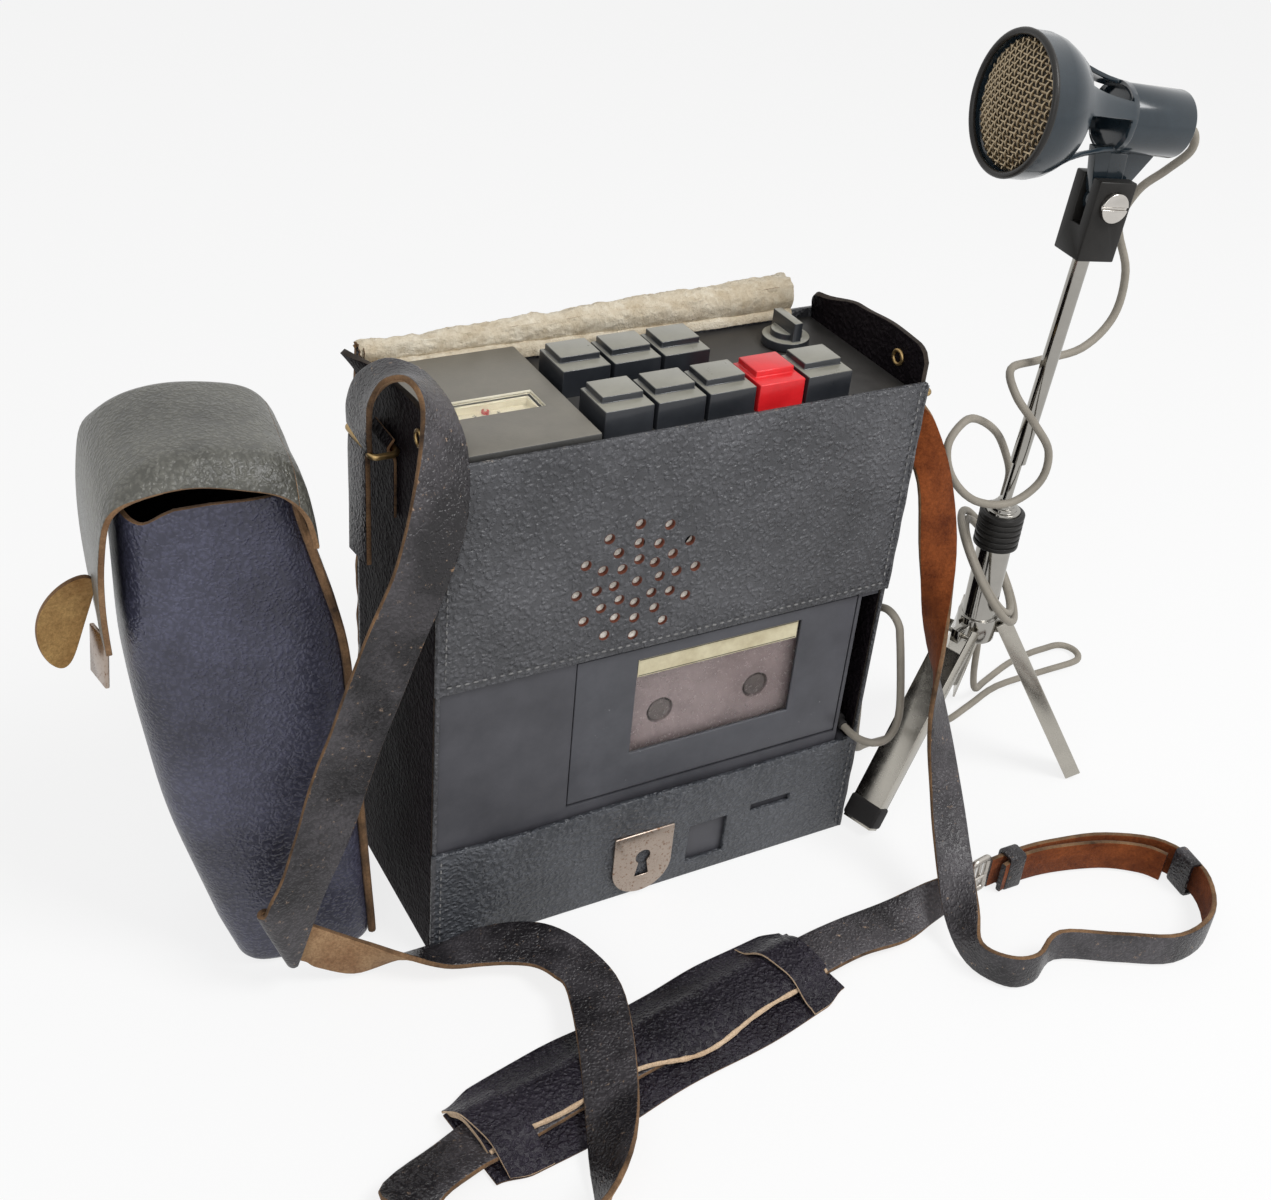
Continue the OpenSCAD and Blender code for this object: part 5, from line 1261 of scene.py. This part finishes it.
def on_hood(u, w):
    """A point of the hood, from its length over the mouth and its depth."""
    f = u * (len(profile) - 1)
    i = min(int(f), len(profile) - 2)
    p = profile[i] + (profile[i + 1] - profile[i]) * (f - i)
    y = -23.2 + HOOD_DEEP * w
    lip = max(0.0, 1 - w / 0.16) ** 2 * step(1 - u, 0.28, 0.5) * (1 - 0.3 * step(u, 0.3, 0.55))
    back = max(0.0, (w - 0.86) / 0.14) ** 2 * step(1 - u, 0.28, 0.5)
    tail = max(0.0, (u - 0.72) / 0.28)
    y = POUCH_Y + (y - POUCH_Y) * (1 - 0.16 * tail ** 2)
    wave = 0.6 * noise.noise(Vector((u * 5, w * 4, 0.3)))
    z = 206 + p.y - 8.5 * lip - 7 * back + wave + 4 * tail ** 3 * abs(2 * w - 1) ** 3
    return in_pouch(-133 + p.x + wave * 0.4, y, z)


bm = bmesh.new()
for v, u, w in grid(bm, 48, 40):
    v.co = on_hood(HINGE + (1 - HINGE) * u, w)
hood = sheet_piece("pouch_hood_sheet", bm, [hood_leather, cut_edge, dark_suede], "pouch_hood", "pouch_leather", HIDE,
                   ["pouch_flap"], worn=2.6, sharp=70, inside=under_hood)

# %% Root of the hood
bm = bmesh.new()
for v, u, w in grid(bm, 14, 40):
    v.co = on_hood(HINGE * u, w)
hood_root = sheet_piece("pouch_hood_root", bm, [hood_leather, cut_edge, dark_suede], None, "pouch_leather", HIDE,
                        worn=1.5, sharp=70, inside=under_hood)
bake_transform(hood_root)

# %% Tongue and catch at the hood's end
bm = bmesh.new()
for v, u, w in grid(bm, 20, 20):
    a, b = 2 * u - 1, 2 * w - 1
    x, y = a * math.sqrt(1 - b * b / 2), b * math.sqrt(1 - a * a / 2)
    v.co = in_pouch(-206 + 7.0 * x + 6.0 * y + 3.5 * y * y, 9 + 3.0 * x + (1 - x) - 2.5 * y * y, 146 + 17 * y - 3.5 * x)
sheet_piece("pouch_tongue", bm, [tongue_suede, cut_edge, hood_leather], "pouch_hood", "pouch_leather", 1.6, worn=2.0,
            sharp=70)
bm = bmesh.new()
bmesh.ops.create_cube(bm, size=1.0)
for v in bm.verts:
    v.co = in_pouch(-195.8 + v.co.x * 1.6 + v.co.z * 1.5 - v.co.y * 3.5, 4 + v.co.y * 12, 134 + v.co.z * 19)
round_edges(bm, 0.5, 2)
place("pouch_catch", bm, [clasp_nickel], "pouch_hood", "clasp_nickel")

# %% [markdown]
# ## Microphone
# The head is a black cone with four windows and a domed grille of woven brass wire. The cone is one line,
# spun round the axis, with the faces of the windows taken out before the wall gets its thickness.
# The weave is real: each wire is a thin tube that rises and dips over the crossing wires, on the dome's
# curve. A dark cloth dome behind it hides the inside.

# %% Microphone bodies
rounded_piece("mic_body", "mic_barrel", 0.7, mic_black, "microphone", "mic_black", 3)
rounded_piece("mic_fork", "mic_clip", 0.6, clip_black, "mast", "clip_black")
rounded_piece("fork_screw", "clip_screw", 0.3, bright_plate, "mast", "stand_chrome")

# %% Cone of the head
TILT, LEAN, HEAD_TURN = math.radians(-82.6), math.radians(4.8), math.radians(-8.5)
WINDOW_TURN, WINDOW_LOW, WINDOW_HIGH = 26, 28.5, 51.5
mast_foot = Matrix.Translation(mm(STAND_X, STAND_Y, 136))
mast_way = Vector((math.sin(LEAN), 0, math.cos(LEAN)))
head_turn = mast_foot @ Matrix.Rotation(HEAD_TURN, 4, mast_way) @ mast_foot.inverted()
mic_frame = head_turn @ Matrix.Translation(mm(194.378, STAND_Y, 292.544)) @ Matrix.Rotation(TILT, 4, "Y")
bm = bmesh.new()
outline = [(12.3, 26), (12.6, 28.5), (13.4, 33), (14.6, 38), (16.1, 43), (17.8, 47.5), (19.9, 51.5),
           (22.3, 55.5), (24, 59), (24.9, 63), (24.9, 71)]
verts = [bm.verts.new((r * MM, 0, z * MM)) for r, z in outline]
line = [bm.edges.new(pair) for pair in zip(verts, verts[1:])]
bmesh.ops.spin(bm, geom=verts + line, cent=(0, 0, 0), axis=(0, 0, 1), angle=2 * math.pi, steps=72, use_merge=True)
windows = []
for f in bm.faces:
    c = f.calc_center_median() / MM
    turn = (math.degrees(math.atan2(c.y, c.x)) - WINDOW_TURN) % 90
    if WINDOW_LOW < c.z < WINDOW_HIGH and 15 < turn < 75:
        windows.append(f)
bmesh.ops.delete(bm, geom=windows, context="FACES")
bmesh.ops.recalc_face_normals(bm, faces=bm.faces)
bmesh.ops.solidify(bm, geom=bm.faces, thickness=1.6 * MM)
bm.transform(mic_frame)
round_edges(bm, 0.4, 2, 40)
place("mic_cone", bm, [mic_black], "microphone", "mic_black", ["mic_head"])
bm = bmesh.new()
bead = [mic_frame @ mm(24.0 * math.cos(a), 24.0 * math.sin(a), 70.6) for a in full_turn(72)]
sweep(bm, round_rings(bead, 1.25 * MM, 12, closed=True), closed=True)
place("mic_rim", bm, [rim_black], "microphone", "mic_black")

# %% Web under the barrel
bm = bmesh.new()
corners = [(161, 286), (188, 282.5), (177, 268.5), (164, 268.5)]
verts = [bm.verts.new(mm(x, -25.8, z)) for x, z in corners]
thicken(bm, [bm.faces.new(verts)], mm(0, 4.6, 0))
round_edges(bm, 0.6, 2, 40)
bm.transform(head_turn)
place("mic_web", bm, [mic_black], "microphone", "mic_black")

# %% Woven grille
local = [mic_frame.inverted() @ v.co for v in nodes["mic_grille"].data.vertices]
dome_r = max(math.hypot(p.x, p.y) for p in local)
dome_top = max(p.z for p in local)
dome_rim = max(p.z for p in local if math.hypot(p.x, p.y) > dome_r - 0.0005)
rise = dome_top - dome_rim
ball = (dome_r ** 2 + rise ** 2) / (2 * rise)
print("grille radius", round(dome_r, 4), "rise", round(rise, 4))


def dome(a, b):
    """Height of the dome above the rim at a place."""
    return math.sqrt(max(0.0, ball ** 2 - a * a - b * b)) - ball + rise


pitch, wire_r = 2.05 * MM, 0.42 * MM
bm = bmesh.new()
reach = dome_r - 0.6 * MM
n = int(reach / pitch)
for way in (0, 1):
    for k in range(-n, n + 1):
        a = k * pitch
        half = math.sqrt(reach ** 2 - a * a)
        m = max(4, int(half * 2 / pitch * 4))
        line = []
        for j in range(m + 1):
            b = -half + 2 * half * j / m
            lift = wire_r * 0.95 * math.cos(math.pi * b / pitch + math.pi * (k + way))
            h = dome_rim + dome(a, b) + wire_r * 0.9 + lift
            line.append(mic_frame @ (Vector((a, b, h)) if way else Vector((b, a, h))))
        sweep(bm, round_rings(line, wire_r, 5))
place("mic_weave", bm, [mesh_wire], "microphone", "mesh_brass")

# %% [markdown]
# ## Stand
# A chrome rod slides in the column, a black ribbed collar carries the cone below it, and three folded
# sheet legs spread from the hub. The left leg ends in a black rubber shoe.

# %% Column, collar and legs
rounded_piece("column_body", "tripod_column", 0.25, chrome, "case", "stand_chrome")
rounded_piece("collar_grip", "stand_collar", 0.3, clip_black, "case", "clip_black")
for leg, body in (("leg_left", "leg_a"), ("leg_right", "leg_b"), ("leg_back", "leg_c")):
    rounded_piece(leg + "_channel", leg, 0.25, leg_plate, body, "leg_steel")

# %% Shoe of the left leg
HUB, PIVOT_OUT, SPLAY = 80.0, 12.5, math.atan2(48.5, 80.0)
LEFT_WAY = math.radians(197)
leg_length = (HUB - 3.5 * math.sin(SPLAY)) / math.cos(SPLAY)
pivot = mm(STAND_X + PIVOT_OUT * math.cos(LEFT_WAY), STAND_Y + PIVOT_OUT * math.sin(LEFT_WAY), HUB)
bm = slab(bmesh.new(), mm(0, 0, 5.9 - leg_length), (8.8, 15.6, 10))
round_edges(bm, 1.4, 4)
bm.transform(Matrix.Translation(pivot) @ Matrix.Rotation(LEFT_WAY, 4, "Z") @ Matrix.Rotation(-SPLAY, 4, "Y"))
place("leg_shoe", bm, [rubber_black], "leg_a", "clip_black")

# %% Plug at the side of the recorder
rounded_piece("cord_plug", "mic_plug", 0.5, rubber_black, "case", "plug_dark")

# %% [markdown]
# ## Light and floor
# The floor and the world are white to the camera and in reflections, and give plain light to the rest.
# One large soft lamp from the upper right gives the leather its sheen, and a weaker one fills the left.

# %% Floor
bm = bmesh.new()
bmesh.ops.create_grid(bm, x_segments=1, y_segments=1, size=4.0)
for v in bm.verts:
    v.co.z = -0.0006
floor_mesh = bpy.data.meshes.new("floor")
bm.to_mesh(floor_mesh)
bm.free()
floor = bpy.data.objects.new("floor", floor_mesh)
scene.collection.objects.link(floor)


def seen_white(tree):
    """One where a ray from the camera, a reflection or a pane looks, and nought for plain light."""
    path = tree.nodes.new("ShaderNodeLightPath")
    value = path.outputs["Is Camera Ray"]
    for other in ("Is Glossy Ray", "Is Transmission Ray"):
        value = maths(tree, "MAXIMUM", value, path.outputs[other])
    return value


floor_white = bpy.data.materials.new("floor_white")
floor_white.use_nodes = True
tree = floor_white.node_tree
tree.nodes.remove(tree.nodes["Principled BSDF"])
matt = texture(tree, "BsdfDiffuse", Color=grey(0.92))
glow = texture(tree, "Emission", Color=grey(1), Strength=1.0)
both = texture(tree, "MixShader")
for number, value in enumerate((maths(tree, "MULTIPLY", seen_white(tree), 0.8), matt.outputs[0], glow.outputs[0])):
    feed(tree, both.inputs[number], value)
feed(tree, tree.nodes["Material Output"].inputs["Surface"], both.outputs[0])
floor_mesh.materials.append(floor_white)
print("floor at", floor_mesh.vertices[0].co.z)

# %% World and lamps
world = bpy.data.worlds.new("studio")
scene.world = world
world.use_nodes = True
tree = world.node_tree
level = texture(tree, "MapRange", To_Min=0.45, To_Max=1.0)
feed(tree, level.inputs["Value"], seen_white(tree))
feed(tree, tree.nodes["Background"].inputs["Color"], grey(1))
feed(tree, tree.nodes["Background"].inputs["Strength"], level.outputs[0])


def lamp(name, where, towards, size, power):
    """A square soft lamp that looks at a place."""
    data = bpy.data.lights.new(name, "AREA")
    data.size = size
    data.energy = power
    made = bpy.data.objects.new(name, data)
    scene.collection.objects.link(made)
    made.location = where
    made.rotation_euler = (Vector(towards) - Vector(where)).to_track_quat("-Z", "Y").to_euler()


lamp("key_lamp", (0.5, -0.75, 1.3), (0, 0, 0.1), 0.6, 12.5)
lamp("fill_lamp", (-0.8, -0.9, 0.9), (0, 0, 0.1), 0.9, 3.5)
scene.view_settings.view_transform = "Standard"
print("two lamps")
